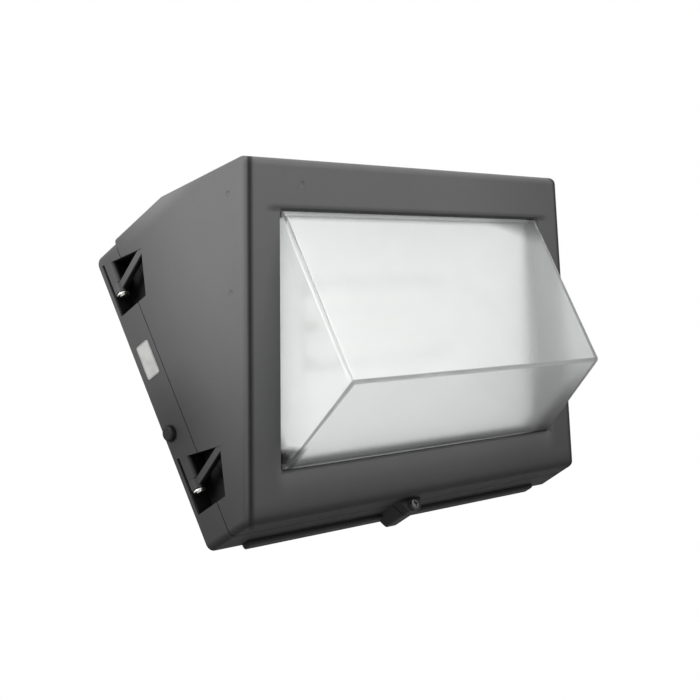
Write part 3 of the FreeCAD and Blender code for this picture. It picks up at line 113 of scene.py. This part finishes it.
class Shader:
    """A material or world under construction."""

    def __init__(self, owner):
        owner.use_nodes = True
        self.owner = owner
        self.tree = owner.node_tree
        self.tree.nodes.clear()

    @staticmethod
    def feed(tree, slot, value):
        if isinstance(value, Flow):
            tree.links.new(value.socket, slot)
        else:
            slot.default_value = value

    def node(self, kind, output=0, settings=(), **inputs):
        """Adds a node, sets it up, then feeds its sockets, which are named with _ for a space."""
        node = self.tree.nodes.new("ShaderNode" + kind)
        for name, value in dict(settings).items():
            setattr(node, name, value)
        for name, value in inputs.items():
            slot = int(name[1:]) if name[0] == "i" and name[1:].isdigit() else name.replace("_", " ")
            self.feed(self.tree, node.inputs[slot], value)
        return Flow(self.tree, node.outputs[output])

    def coordinates(self):
        return self.node("TexCoord", "Object")

    def along(self, axis):
        """The object coordinate along X, Y or Z, in metres."""
        return self.node("SeparateXYZ", axis, Vector=self.coordinates())

    def noise(self, scale, detail=3.0, roughness=0.5, stretch=(1.0, 1.0, 1.0)):
        """Noise in object space, which a stretch makes coarser or finer along one axis."""
        place = self.coordinates()
        if stretch != (1.0, 1.0, 1.0):
            place = self.node("Mapping", Vector=place, Scale=stretch)
        return self.node("TexNoise", "Fac", Vector=place, Scale=scale, Detail=detail, Roughness=roughness)

    def ramp(self, value, low, high):
        """0 below low and 1 above high, with a soft step between."""
        return self.node("MapRange", settings={"interpolation_type": "SMOOTHSTEP"}, Value=value,
                         From_Min=low, From_Max=high)

    def fade(self, value, low, high):
        """1 below low and 0 above high, with a soft step between."""
        return 1.0 - self.ramp(value, low, high)

    def band(self, value, low, full, wane, high):
        """1 from full to wane, and 0 below low and above high, with soft steps between."""
        return self.ramp(value, low, full) * self.fade(value, wane, high)

    def least(self, first, second):
        return first.math("MINIMUM", first, second)

    def most(self, first, second):
        return first.math("MAXIMUM", first, second)

    def mix(self, share, first, second):
        """Mixes two colours."""
        return self.node("Mix", 2, {"data_type": "RGBA"}, i0=share, i6=first, i7=second)

    def grey(self, tone, warmth=1.0):
        return self.node("CombineColor", Red=tone, Green=tone, Blue=tone * warmth)

    def bump(self, height, depth, strength=1.0):
        return self.node("Bump", Height=height, Distance=depth, Strength=strength)

    def surface(self, shader, kind="OutputMaterial"):
        output = self.tree.nodes.new("ShaderNode" + kind)
        self.feed(self.tree, output.inputs["Surface"], shader)
        return self.owner


FLOOR_HEIGHT = -0.75
FLOOR_SIZE = 60.0
SURROUND = 0.28
bpy.ops.object.select_all(action="DESELECT")
bpy.ops.mesh.primitive_plane_add(size=FLOOR_SIZE, location=(0.0, 0.0, FLOOR_HEIGHT))
floor = bpy.context.object
floor.name = "floor"
floor_paint = Shader(bpy.data.materials.new("floor_paint"))
floor_grain = floor_paint.noise(3.0, 4.0)
floor_pale = floor_paint.mix(floor_grain, (0.84, 0.84, 0.84, 1.0), (0.88, 0.88, 0.88, 1.0))
floor.data.materials.append(floor_paint.surface(floor_paint.node(
    "BsdfPrincipled", Base_Color=floor_pale, Roughness=0.7)))

world = bpy.data.worlds.new("surround")
bpy.context.scene.world = world
sky = Shader(world)
seen = sky.node("LightPath", "Is Camera Ray") + sky.node("LightPath", "Is Glossy Ray")
seen = sky.least(seen + sky.node("LightPath", "Is Transmission Ray"), 1.0)
sky.surface(sky.node(
    "Background", Color=(1.0, 1.0, 1.0, 1.0), Strength=SURROUND + seen * (1.0 - SURROUND)), "OutputWorld")

LAMPS = {
    # name: place, watts, size
    "left_lamp": ((-1.9, -0.15, 0.9), 28.0, 1.1),
    "front_lamp": ((0.7, -1.9, 0.7), 26.0, 1.4),
    "low_lamp": ((-0.3, -1.1, -0.65), 4.0, 1.0),
}
for lamp_name, (place, watts, size) in LAMPS.items():
    lamp_data = bpy.data.lights.new(lamp_name, "AREA")
    lamp_data.energy = watts
    lamp_data.size = size
    lamp = bpy.data.objects.new(lamp_name, lamp_data)
    bpy.context.scene.collection.objects.link(lamp)
    lamp.location = place
    lamp.rotation_mode = "QUATERNION"
    lamp.rotation_quaternion = (-Vector(place)).to_track_quat("-Z", "Y")


# ---------------------------------------------------------------- casting
# The housing and the cover are aluminium die castings with a dark grey satin powder coat, which shows
# as a fine orange peel. Shade is painted into the coat: darker on the face, beside the face's upright
# edges, in the hinge pockets, along the opening's top edge, near the wall and towards the bottom, and
# paler as painted light along the top of the left side and along the opening's bottom edge. It is also
# painted darker round the nub.
def dress(material, *names):
    """Gives CAD nodes one material."""
    for name in names:
        mesh = nodes[name].data
        mesh.materials.clear()
        mesh.materials.append(material)


HALF_WIDTH = 0.1895
SIDE_SLOPE = 0.1
HALF_HEIGHT = 0.1165
TOP_DROP = 0.021
FACE_TOP_DEPTH = 0.1585
FACE_BOTTOM_DEPTH = 0.0393
FACE_TOP_Z = HALF_HEIGHT - TOP_DROP
FACE_TILT = math.atan2(FACE_TOP_DEPTH - FACE_BOTTOM_DEPTH, FACE_TOP_Z + HALF_HEIGHT)
UPPER_HINGE_Z = HALF_HEIGHT - 0.033
LOWER_HINGE_Z = 0.0455 - HALF_HEIGHT
POCKET_HALF = 0.022
POCKET_DEPTH = 0.045
NUB_Z = LOWER_HINGE_Z + 0.040
NUB_DEPTH = 0.0065
NUB_R = 0.0055
NUB_SMUDGE_R = 0.06
CASTING_GREY = 0.152

# The soft steps of the coat's shading. A pair says where a step starts and ends, and four numbers say
# that for a band's two sides. What they are measured along is said at the first of each group.
HINGE_SIDE = (-0.160, -0.150)                       # across
LEFT_SIDE = (-0.188, -0.172)
FAR_RIGHT = (0.02, HALF_WIDTH)
BESIDE_GLASS = (0.148, 0.160)
TOP_HIGHLIGHT = (HALF_HEIGHT - 0.016, HALF_HEIGHT - 0.004)       # up
LOW_DOWN = (-HALF_HEIGHT * 1.1, HALF_HEIGHT * 0.5)
BENEATH = (-HALF_HEIGHT - 0.0005, -HALF_HEIGHT + 0.006)
NEAR_WALL = (0.0, 0.1)                              # out from the wall
POCKET_FRONT = (POCKET_DEPTH, POCKET_DEPTH + 0.002)
WORN_DEPTH = (0.0034, 0.0038, 0.009, 0.013)
POCKET_ENDS = (POCKET_HALF, POCKET_HALF + 0.003)    # up or down from the middle of a hinge
POCKET_IN = (0.0006, 0.0025, 0.016, 0.018)          # in from the side
WORN_IN = (0.0003, 0.0007, 0.008, 0.010)
EDGE_SHADE = (0.0004, 0.0036, 0.0042, 0.0085)        # in from the side, less the way behind the face
EDGE_SHADE_BACK = (0.006, 0.008)                     # behind the face
FACE_SKIN = (0.0005, 0.003)
LIP_SHADOW = (0.0320, 0.0355, 0.037, 0.039)         # down the face
LIGHT_SPILL = (0.190, 0.200, 0.212, 0.232)
FACE_FOOT = (0.228, 0.242)


def from_face(shader):
    """How far a point lies down the sloping face, and how far behind it, in metres."""
    out, rise = shader.along("Y") + FACE_TOP_DEPTH, shader.along("Z") - FACE_TOP_Z
    return (out * math.sin(FACE_TILT) - rise * math.cos(FACE_TILT),
            out * math.cos(FACE_TILT) + rise * math.sin(FACE_TILT))


coat = Shader(bpy.data.materials.new("powder_coat"))
across, up, out = coat.along("X"), coat.along("Z"), -coat.along("Y")
down_face, behind_face = from_face(coat)
in_from_side = HALF_WIDTH - SIDE_SLOPE * out - abs(across)
hinge_side = coat.fade(across, *HINGE_SIDE)
from_hinge = coat.least(abs(up - UPPER_HINGE_Z), abs(up - LOWER_HINGE_Z))
at_hinge = coat.fade(from_hinge, *POCKET_ENDS) * hinge_side
# Painted shade: the hinge pockets are darkened almost to black.
pocket = coat.band(in_from_side, *POCKET_IN) * coat.fade(out, *POCKET_FRONT) * at_hinge
worn = coat.band(in_from_side, *WORN_IN) * coat.band(out, *WORN_DEPTH) * at_hinge
worn = worn * coat.ramp(coat.noise(170.0, 4.0), 0.54, 0.60)
# Painted shade: a dark line down the face's upright edges.
edge_shade = coat.band(in_from_side - behind_face, *EDGE_SHADE) * coat.fade(behind_face, *EDGE_SHADE_BACK)
# The nub is on the hinge side. Elsewhere its distance has a metre added, which keeps its painted darkening
# off.
nub_up, nub_out = up - NUB_Z, out - NUB_DEPTH
from_nub = (nub_out * nub_out + nub_up * nub_up) ** 0.5 + (1.0 - hinge_side)
front = coat.fade(behind_face, *FACE_SKIN)
beside_glass = front * coat.fade(abs(across), *BESIDE_GLASS)
near_wall = coat.fade(out, *NEAR_WALL)
# Painted highlight: the top of the left side is paler, away from the wall.
top_highlight = coat.ramp(up, *TOP_HIGHLIGHT) * coat.fade(across, *LEFT_SIDE) * (1.0 - near_wall)
SHADES = (
    # where the coat is painted darker as shade, or with a minus sign paler as painted light, and by what
    # share
    (coat.fade(up, *LOW_DOWN), 0.64 - front * 0.42),
    (coat.fade(up, *BENEATH), 0.9),
    (front, 0.33 + coat.ramp(across, *FAR_RIGHT) * 0.2),
    (front * coat.ramp(down_face, *FACE_FOOT), 0.45),
    (near_wall, 0.52),
    (top_highlight, -0.8),
    # the coat round the nub is painted darker, and the nub darker still
    (coat.fade(from_nub, 0.0, NUB_SMUDGE_R), 0.5),
    (coat.fade(from_nub, NUB_R, NUB_R + 0.001), 0.85),
    (beside_glass * coat.band(down_face, *LIP_SHADOW), 0.5),
    # painted light: paler along the opening's bottom edge
    (beside_glass * coat.band(down_face, *LIGHT_SPILL), -0.6),
    (edge_shade, 0.9),
    (pocket, 0.97),
)
clouds = coat.noise(9.0, 3.0)
speckle = coat.noise(900.0, 2.0)
tone = CASTING_GREY * (0.88 + clouds * 0.14 + speckle * 0.1)
for where, share in SHADES:
    tone = tone * (1.0 - where * share)
tone = tone + worn * 0.3
peel = coat.noise(520.0, 2.0) * 0.6 + coat.noise(130.0, 2.0) * 0.4
satin = 0.5 + coat.noise(60.0) * 0.16 + edge_shade * 0.15 - worn * 0.2
casting = coat.surface(coat.node(
    "BsdfPrincipled", Base_Color=coat.grey(tone, 1.01), Roughness=satin, Specular_IOR_Level=0.3,
    Normal=coat.bump(peel, 0.0005, 0.3)))
dress(casting, "back_housing", "front_cover")


# ---------------------------------------------------------------- refractor
# One piece of pressed borosilicate glass, slightly milky, with fine upright prisms that blur the
# reflector behind it. Shade is painted dark into it at its foot, towards its right end and under the
# opening's top edge.
PRISM_PITCH = 0.0032
MILKINESS = 0.17
MILKINESS_VARIES = 0.08
GLASS_TINT = (0.86, 0.875, 0.875, 1.0)
GLASS_SHADE_DARK = (0.05, 0.05, 0.05, 1.0)
LEFT_END = (-0.144, -0.139)                         # across
FAR_FOOT_ACROSS = (0.112, 0.138)
SHADE_WIDENS = (0.07, 0.15)
FOOT = (-0.067, -0.059)                             # towards the wall
FAR_FOOT = (-0.152, -0.062)
LEFT_FOOT = (0.1935, 0.1985)                        # down the face
TOP_SHADE = (0.0365, 0.0455)
SHADE_WIDER = 0.022
glass = Shader(bpy.data.materials.new("refractor_glass"))
across, to_wall = glass.along("X"), glass.along("Y")
down_face = from_face(glass)[0]
prisms = across * (2.0 * math.pi / PRISM_PITCH)
prisms = prisms.math("SINE", prisms)
ripple = glass.bump(prisms * 0.5 + glass.noise(40.0, 2.0) * 0.6, 0.0002, 0.06)
milk_clouds = glass.noise(14.0, 3.0)
milk_white = glass.mix(milk_clouds, (0.78, 0.79, 0.79, 1.0), (0.84, 0.85, 0.85, 1.0))
# Painted shade: the glass is darkened at its foot, at its left end's foot, towards its right end near the
# wall and under the opening's top edge.
left_foot = glass.fade(across, *LEFT_END) * glass.ramp(down_face, *LEFT_FOOT)
far_foot = glass.ramp(to_wall, *FAR_FOOT) * glass.ramp(across, *FAR_FOOT_ACROSS)
shade_end = TOP_SHADE[1] + glass.ramp(across, *SHADE_WIDENS) * SHADE_WIDER
top_shade = glass.fade(down_face, TOP_SHADE[0], shade_end)
painted_shade = glass.most(glass.ramp(to_wall, *FOOT) * 0.5, far_foot * 0.85)
painted_shade = glass.most(painted_shade, glass.most(left_foot * 0.8, top_shade * 0.85))
milk = glass.node("BsdfPrincipled", Base_Color=glass.mix(painted_shade, milk_white, GLASS_SHADE_DARK), Roughness=0.32,
                  Normal=ripple)
clear = glass.node("BsdfPrincipled", Base_Color=glass.mix(painted_shade, GLASS_TINT, GLASS_SHADE_DARK), Roughness=0.2,
                   Transmission_Weight=1.0, IOR=1.45, Normal=ripple)
milkiness = MILKINESS - MILKINESS_VARIES / 2.0 + milk_clouds * MILKINESS_VARIES
dress(glass.surface(glass.node("MixShader", Fac=milkiness, i1=clear, i2=milk)), "refractor")


# ---------------------------------------------------------------- seals
# The gaskets at the seam and behind the glass, the wiring grommet and the closing screw's washer are
# moulded in matt black silicone, a little dusty.
rubber = Shader(bpy.data.materials.new("black_silicone"))
dust = rubber.ramp(rubber.noise(35.0, 4.0), 0.45, 0.75)
rubber_shade = rubber.mix(dust, (0.022, 0.022, 0.023, 1.0), (0.07, 0.069, 0.066, 1.0))
dress(rubber.surface(rubber.node(
    "BsdfPrincipled", Base_Color=rubber_shade, Roughness=0.72 + dust * 0.16,
    Normal=rubber.bump(rubber.noise(700.0, 2.0), 0.0002, 0.3))),
    "housing_gasket", "refractor_gasket", "wiring_grommet", "closing_screw_washer")


# ---------------------------------------------------------------- label
# A blank label of thin satin polyester, stuck to the housing's left side. It is greyed by weather and
# grubby at its rim.
LABEL_RIM = (0.0002, 0.0018)
label_low, label_high = (Vector(corner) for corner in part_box("side_label"))
paper = Shader(bpy.data.materials.new("label_stock"))
from_end = paper.least(paper.along("Z") - label_low.z, label_high.z - paper.along("Z"))
from_side = paper.least(paper.along("Y") - label_low.y, label_high.y - paper.along("Y"))
rim = paper.fade(paper.least(from_end, from_side), *LABEL_RIM)
stain = paper.ramp(paper.noise(110.0, 4.0), 0.35, 0.8)
label_tone = 0.5 - stain * 0.09 - rim * 0.17
dress(paper.surface(paper.node(
    "BsdfPrincipled", Base_Color=paper.grey(label_tone, 0.98), Roughness=0.42 + stain * 0.2,
    Normal=paper.bump(paper.noise(260.0, 3.0), 0.0002, 0.35))), "side_label")


# ---------------------------------------------------------------- fasteners
# Screws, hinge pins, push-on rings and the refractor's clips are steel with bright zinc plate, which
# has fine scratches and a faint blue and yellow cast. The closing screw is darker.
def plated(name, pale, cast, dirt):
    """A plated metal with a paler and a tinted shade, fine scratches, and a share of dirt on it."""
    plate = Shader(bpy.data.materials.new(name))
    tint = plate.mix(plate.ramp(plate.noise(90.0, 2.0), 0.3, 0.7), pale, cast)
    grime = plate.ramp(plate.noise(420.0, 4.0), 0.62 - dirt, 0.95 - dirt)
    scratches = plate.noise(600.0, 2.0, stretch=(1.0, 1.0, 9.0))
    return plate.surface(plate.node(
        "BsdfPrincipled", Base_Color=plate.mix(grime, tint, (0.09, 0.085, 0.08, 1.0)),
        Roughness=0.24 + scratches * 0.16 + grime * 0.3, Metallic=1.0 - grime * 0.8,
        Normal=plate.bump(scratches, 0.0001, 0.25)))


dress(plated("bright_zinc", (0.80, 0.81, 0.84, 1.0), (0.82, 0.80, 0.73, 1.0), 0.0),
      "hinge_pin_upper", "hinge_pin_lower", "hinge_pin_clips", "refractor_clips", "refractor_clip_screws",
      "heat_sink_screws", "led_board_screws", "reflector_screws", "bracket_screws", "driver_screws",
      "surge_protector_screw", "terminal_block_screws")
dress(plated("darker_zinc", (0.12, 0.12, 0.12, 1.0), (0.09, 0.085, 0.08, 1.0), 0.25),
      "closing_screw")


# ---------------------------------------------------------------- LED board
# A white solder mask over an aluminium board. The copper beneath shows as faint wide tracks along the
# rows of chips, broken at each chip and halfway between two. The board's faint glow is painted light, as
# if lit by the chips.
LOW_CHIP, HIGH_CHIP = (Vector(corner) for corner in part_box("led_chips"))
CHIP_COLUMNS = 8
CHIP_ROWS = 3
CHIP_SIZE = 0.0035
CHIP_PITCH = (HIGH_CHIP.x - LOW_CHIP.x - CHIP_SIZE) / (CHIP_COLUMNS - 1)
ROW_PITCH = 0.018
ENGINE_DOWN = 0.117
CHIP_LIGHT_AND_PAINTED_GLOW = 0.52
TRACK_SIDE = (0.0042, 0.0045)
TRACK_BREAK = (0.0003, 0.0006)
mask = Shader(bpy.data.materials.new("solder_mask"))
row = (from_face(mask)[0] - ENGINE_DOWN) / ROW_PITCH
row = abs(row - row.math("ROUND", row)) * ROW_PITCH
column = (mask.along("X") - LOW_CHIP.x - CHIP_SIZE / 2.0) / CHIP_PITCH
column = abs(column - column.math("ROUND", column)) * CHIP_PITCH
track = mask.fade(row, *TRACK_SIDE) * mask.ramp(column, *TRACK_BREAK)
track = track * mask.ramp(abs(column - CHIP_PITCH / 2.0), *TRACK_BREAK)
solder_shade = mask.mix(track, (0.72, 0.73, 0.72, 1.0), (0.80, 0.81, 0.795, 1.0))
# Painted light: the solder mask glows as if lit by the chips.
dress(mask.surface(mask.node(
    "BsdfPrincipled", Base_Color=solder_shade, Roughness=0.3 + mask.noise(120.0) * 0.12,
    Emission_Color=(1.0, 1.0, 1.0, 1.0), Emission_Strength=CHIP_LIGHT_AND_PAINTED_GLOW,
    Normal=mask.bump(track + mask.noise(300.0) * 0.2, 0.0002, 0.4))), "led_board")


# ---------------------------------------------------------------- LED chips
# Twenty-four surface-mount packages: a white moulded body with a bevelled rim, filled with yellow
# phosphor that domes a little, soldered to the board in three rows.
ENGINE_BEHIND = 0.052
BOARD_THICKNESS = 0.0016
CHIP_HEIGHT = 0.0009
CHIP_FRONT = ENGINE_BEHIND - BOARD_THICKNESS - CHIP_HEIGHT
CHIP_WALL = 0.00045
CHIP_ROUNDING = 0.00008
WELL_DEPTH = CHIP_HEIGHT * 0.35
WELL_TAPER = 0.86
GEL_STEP = CHIP_WALL * 0.9
GEL_RISE = CHIP_HEIGHT * 0.18
GEL_DOME = CHIP_HEIGHT * 0.08
GEL_HALF = (CHIP_SIZE / 2.0 - CHIP_WALL) * 0.87
GEL_FRONT = -CHIP_HEIGHT * 0.49
moulding = Shader(bpy.data.materials.new("package_body"))
moulding_shade = moulding.mix(moulding.noise(900.0), (0.82, 0.82, 0.80, 1.0), (0.90, 0.90, 0.88, 1.0))
# Painted light: the white body glows at the chips' strength; the phosphor's glow below is the chips' own
# light.
package_body = moulding.surface(moulding.node(
    "BsdfPrincipled", Base_Color=moulding_shade, Roughness=0.45, Emission_Color=(1.0, 1.0, 1.0, 1.0),
    Emission_Strength=CHIP_LIGHT_AND_PAINTED_GLOW, Normal=moulding.bump(moulding.noise(2500.0), 0.00005, 0.3)))
gel = Shader(bpy.data.materials.new("phosphor"))
gel_shade = gel.mix(gel.noise(1400.0, 4.0), (0.85, 0.55, 0.06, 1.0), (0.90, 0.66, 0.14, 1.0))
phosphor = gel.surface(gel.node(
    "BsdfPrincipled", Base_Color=gel_shade, Roughness=0.3, Emission_Color=(1.0, 0.8, 0.3, 1.0),
    Emission_Strength=CHIP_LIGHT_AND_PAINTED_GLOW, Normal=gel.bump(gel.noise(1800.0), 0.00005, 0.3)))


def on_face(across, down, behind):
    """The place of a point given across and down the sloping face and behind it."""
    return Vector((across, -FACE_TOP_DEPTH + down * math.sin(FACE_TILT) + behind * math.cos(FACE_TILT),
                   FACE_TOP_Z - down * math.cos(FACE_TILT) + behind * math.sin(FACE_TILT)))


def choose_faces(piece, wanted):
    """In edit mode, selects just the faces whose centre and normal pass a test."""
    bpy.ops.object.mode_set(mode="OBJECT")
    for polygon in piece.data.polygons:
        polygon.select = wanted(polygon.center, polygon.normal)
    bpy.ops.object.mode_set(mode="EDIT")


bpy.ops.object.select_all(action="DESELECT")
bpy.ops.mesh.primitive_cube_add(size=1.0)
package = bpy.context.object
bpy.ops.object.mode_set(mode="EDIT")
bpy.ops.mesh.select_mode(type="FACE")
bpy.ops.transform.resize(value=(CHIP_SIZE, CHIP_HEIGHT, CHIP_SIZE))
choose_faces(package, lambda centre, normal: normal.y < -0.9)
bpy.ops.mesh.inset(thickness=CHIP_WALL)
bpy.ops.mesh.extrude_region_move(TRANSFORM_OT_translate={"value": (0.0, WELL_DEPTH, 0.0)})
bpy.ops.transform.resize(value=(WELL_TAPER, 1.0, WELL_TAPER))
for rise in (GEL_RISE, GEL_DOME):
    bpy.ops.mesh.inset(thickness=GEL_STEP)
    bpy.ops.transform.translate(value=(0.0, -rise, 0.0))
bpy.ops.object.mode_set(mode="OBJECT")
package.data.materials.append(package_body)
package.data.materials.append(phosphor)
for polygon in package.data.polygons:
    centre = polygon.center
    inside = max(abs(centre.x), abs(centre.z)) < GEL_HALF
    on_gel = inside and polygon.normal.y < -0.5 and centre.y > GEL_FRONT
    polygon.material_index = 1 if on_gel else 0
soften = package.modifiers.new("soften", "BEVEL")
soften.width = CHIP_ROUNDING
soften.segments = 2
bpy.ops.object.modifier_apply(modifier="soften")
package.data.transform(Quaternion((1.0, 0.0, 0.0), FACE_TILT).to_matrix().to_4x4())
for number in range(CHIP_COLUMNS * CHIP_ROWS):
    chip = package.copy()
    chip.data = package.data.copy()
    chip.name = f"led_package_{number + 1:02d}"
    chip_across = LOW_CHIP.x + CHIP_SIZE / 2.0 + number % CHIP_COLUMNS * CHIP_PITCH
    chip_down = ENGINE_DOWN + (number // CHIP_COLUMNS - 1) * ROW_PITCH
    place = on_face(chip_across, chip_down, CHIP_FRONT + CHIP_HEIGHT / 2.0)
    for vertex in chip.data.vertices:
        vertex.co += place
    bpy.context.scene.collection.objects.link(chip)
    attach(chip, "housing")
    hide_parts("led_chips")
bpy.data.objects.remove(package)


# ---------------------------------------------------------------- reflector
# Thin aluminium sheet, folded into a funnel and painted glossy white inside, with a faint orange peel.
# Inside it glows with painted light, as from the chips. Beyond its mouth's sides and lower edge, and at
# the mouth's lower corners, it is painted dark as shade and does not glow. Its back is bare metal.
MOUTH_HALF = 0.1432
MOUTH_LOW = 0.2045
MOUTH_CORNER_R = 0.018
RIM_SHADE_EDGE = (MOUTH_CORNER_R - 0.001, MOUTH_CORNER_R)
PAINTED_REFLECTOR_GLOW = 0.47
enamel = Shader(bpy.data.materials.new("white_enamel"))
# Painted shade: beyond the mouth's sides and lower edge, with rounded lower corners, the enamel is dark and
# does not glow.
past_side = enamel.most(abs(enamel.along("X")) - (MOUTH_HALF - MOUTH_CORNER_R), 0.0)
past_low = enamel.most(from_face(enamel)[0] - (MOUTH_LOW - MOUTH_CORNER_R), 0.0)
past_corner = (past_side * past_side + past_low * past_low) ** 0.5
rim_shade = enamel.ramp(past_corner, *RIM_SHADE_EDGE)
film = enamel.ramp(enamel.noise(22.0, 4.0), 0.4, 0.8)
enamel_shade = enamel.mix(film, (0.80, 0.80, 0.795, 1.0), (0.73, 0.725, 0.71, 1.0))
# Painted light: the enamel inside the funnel glows as if lit by the chips.
dress(enamel.surface(enamel.node(
    "BsdfPrincipled", Base_Color=enamel.mix(rim_shade, enamel_shade, (0.05, 0.05, 0.05, 1.0)),
    Roughness=0.22 + film * 0.2 + rim_shade * 0.3, Emission_Strength=PAINTED_REFLECTOR_GLOW,
    Emission_Color=enamel.mix(rim_shade, (1.0, 1.0, 1.0, 1.0), (0.0, 0.0, 0.0, 1.0)),
    Normal=enamel.bump(enamel.noise(420.0, 2.0), 0.0002, 0.2))), "reflector")
rolled = Shader(bpy.data.materials.new("rolled_aluminium"))
roll_lines = rolled.noise(700.0, 2.0, stretch=(0.03, 1.0, 1.0))
sheet = nodes["reflector"].data
sheet.materials.append(rolled.surface(rolled.node(
    "BsdfPrincipled", Base_Color=rolled.grey(0.6 + roll_lines * 0.12, 1.01),
    Roughness=0.32 + roll_lines * 0.15, Metallic=1.0, Normal=rolled.bump(roll_lines, 0.0001, 0.25))))
PAINTED_TILT = 0.05
mouthward = on_face(0.0, 0.0, -1.0) - on_face(0.0, 0.0, 0.0)
for polygon in sheet.polygons:
    polygon.material_index = 0 if polygon.normal.dot(mouthward) > PAINTED_TILT else 1


# ---------------------------------------------------------------- heat sink
# Plain extruded aluminium, with the fine die lines of the extrusion running down its base and fins. It
# is screwed to the two brackets and carries the LED board and the reflector.
alloy = Shader(bpy.data.materials.new("extruded_aluminium"))
sloping = alloy.node("Mapping", Vector=alloy.coordinates(), Rotation=(-FACE_TILT, 0.0, 0.0),
                     Scale=(1.0, 1.0, 0.02))
die_lines = alloy.node("TexNoise", "Fac", Vector=sloping, Scale=1400.0, Detail=2.0)
bloom = alloy.noise(30.0, 3.0)
dress(alloy.surface(alloy.node(
    "BsdfPrincipled", Base_Color=alloy.grey(0.56 + die_lines * 0.14 + bloom * 0.08, 1.02),
    Roughness=0.3 + die_lines * 0.18, Metallic=1.0, Normal=alloy.bump(die_lines, 0.0001, 0.35))),
    "heat_sink")


# ---------------------------------------------------------------- brackets
# Two bent brackets of hot-dip galvanised sheet, with the crystal spangle of the zinc. They are screwed
# to the housing and carry the heat sink.
spangled = Shader(bpy.data.materials.new("galvanised_sheet"))
crystal = spangled.node("TexVoronoi", "Color", Vector=spangled.coordinates(), Scale=170.0)
crystal = spangled.node("SeparateColor", "Red", Color=crystal)
dress(spangled.surface(spangled.node(
    "BsdfPrincipled", Base_Color=spangled.grey(0.46 + crystal * 0.16, 1.02), Roughness=0.32 + crystal * 0.2,
    Metallic=0.9, Normal=spangled.bump(crystal, 0.00005, 0.3))), "bracket_left", "bracket_right")


# ---------------------------------------------------------------- driver and surge protector
# The driver sits in a satin anodised case, brushed along its length. The surge protector is potted in
# a finely grained black moulding.
anodised = Shader(bpy.data.materials.new("anodised_case"))
brush = anodised.noise(900.0, 3.0, stretch=(0.02, 1.0, 1.0))
dress(anodised.surface(anodised.node(
    "BsdfPrincipled", Base_Color=anodised.grey(0.5 + brush * 0.14, 1.02), Roughness=0.34 + brush * 0.16,
    Metallic=0.85, Normal=anodised.bump(brush, 0.0001, 0.3))), "driver_case")


def moulded(name, dark, pale, roughness, grain=900.0):
    """A moulded plastic with a fine eroded grain and a slight mottle."""
    resin = Shader(bpy.data.materials.new(name))
    return resin.surface(resin.node(
        "BsdfPrincipled", Base_Color=resin.mix(resin.noise(60.0, 3.0), dark, pale),
        Roughness=roughness + resin.noise(45.0) * 0.12,
        Normal=resin.bump(resin.noise(grain, 2.0), 0.0002, 0.3)))


dress(moulded("potted_black", (0.016, 0.016, 0.017, 1.0), (0.034, 0.034, 0.035, 1.0), 0.48),
      "surge_protector")


# ---------------------------------------------------------------- terminal block and plugs
# The terminal block is dark glass-filled nylon. The board's plug and the lead clip are natural white
# nylon, the wire screws and the ring lug are tinned brass, and the ground screw's plate is dyed green.
dress(moulded("dark_nylon", (0.05, 0.05, 0.054, 1.0), (0.085, 0.085, 0.09, 1.0), 0.4),
      "terminal_block")
dress(moulded("white_nylon", (0.72, 0.71, 0.66, 1.0), (0.82, 0.81, 0.77, 1.0), 0.36),
      "led_connector", "lead_clip")
dress(plated("tinned_brass", (0.74, 0.60, 0.30, 1.0), (0.70, 0.64, 0.48, 1.0), 0.05),
      "terminal_screws", "ground_lug")
dress(plated("green_screw", (0.05, 0.30, 0.11, 1.0), (0.09, 0.38, 0.15, 1.0), 0.0),
      "ground_screw")


# ---------------------------------------------------------------- leads
# Stranded copper in coloured plastic insulation, slightly glossy, with the faint ripple of the strands.
# They join the terminal block, the surge protector, the driver, the LED board and the ground screw.
BLACK = ((0.018, 0.018, 0.019, 1.0), (0.035, 0.035, 0.036, 1.0))
WHITE = ((0.72, 0.72, 0.70, 1.0), (0.82, 0.82, 0.80, 1.0))
GREEN = ((0.03, 0.24, 0.07, 1.0), (0.05, 0.33, 0.11, 1.0))
RED = ((0.48, 0.03, 0.025, 1.0), (0.62, 0.06, 0.045, 1.0))
LEAD_GLOSS = 0.26
STRAND_GRAIN = 420.0
INSULATION = {
    # node: its darker and paler shade
    "ground_lead": GREEN,
    "board_lead_positive": RED,
    "board_lead_negative": BLACK,
    "supply_lead_line": BLACK,
    "supply_lead_neutral": WHITE,
    "driver_lead_line": BLACK,
    "driver_lead_neutral": WHITE,
}
for lead_name, (dark, pale) in INSULATION.items():
    dress(moulded(lead_name + "_insulation", dark, pale, LEAD_GLOSS, STRAND_GRAIN), lead_name)
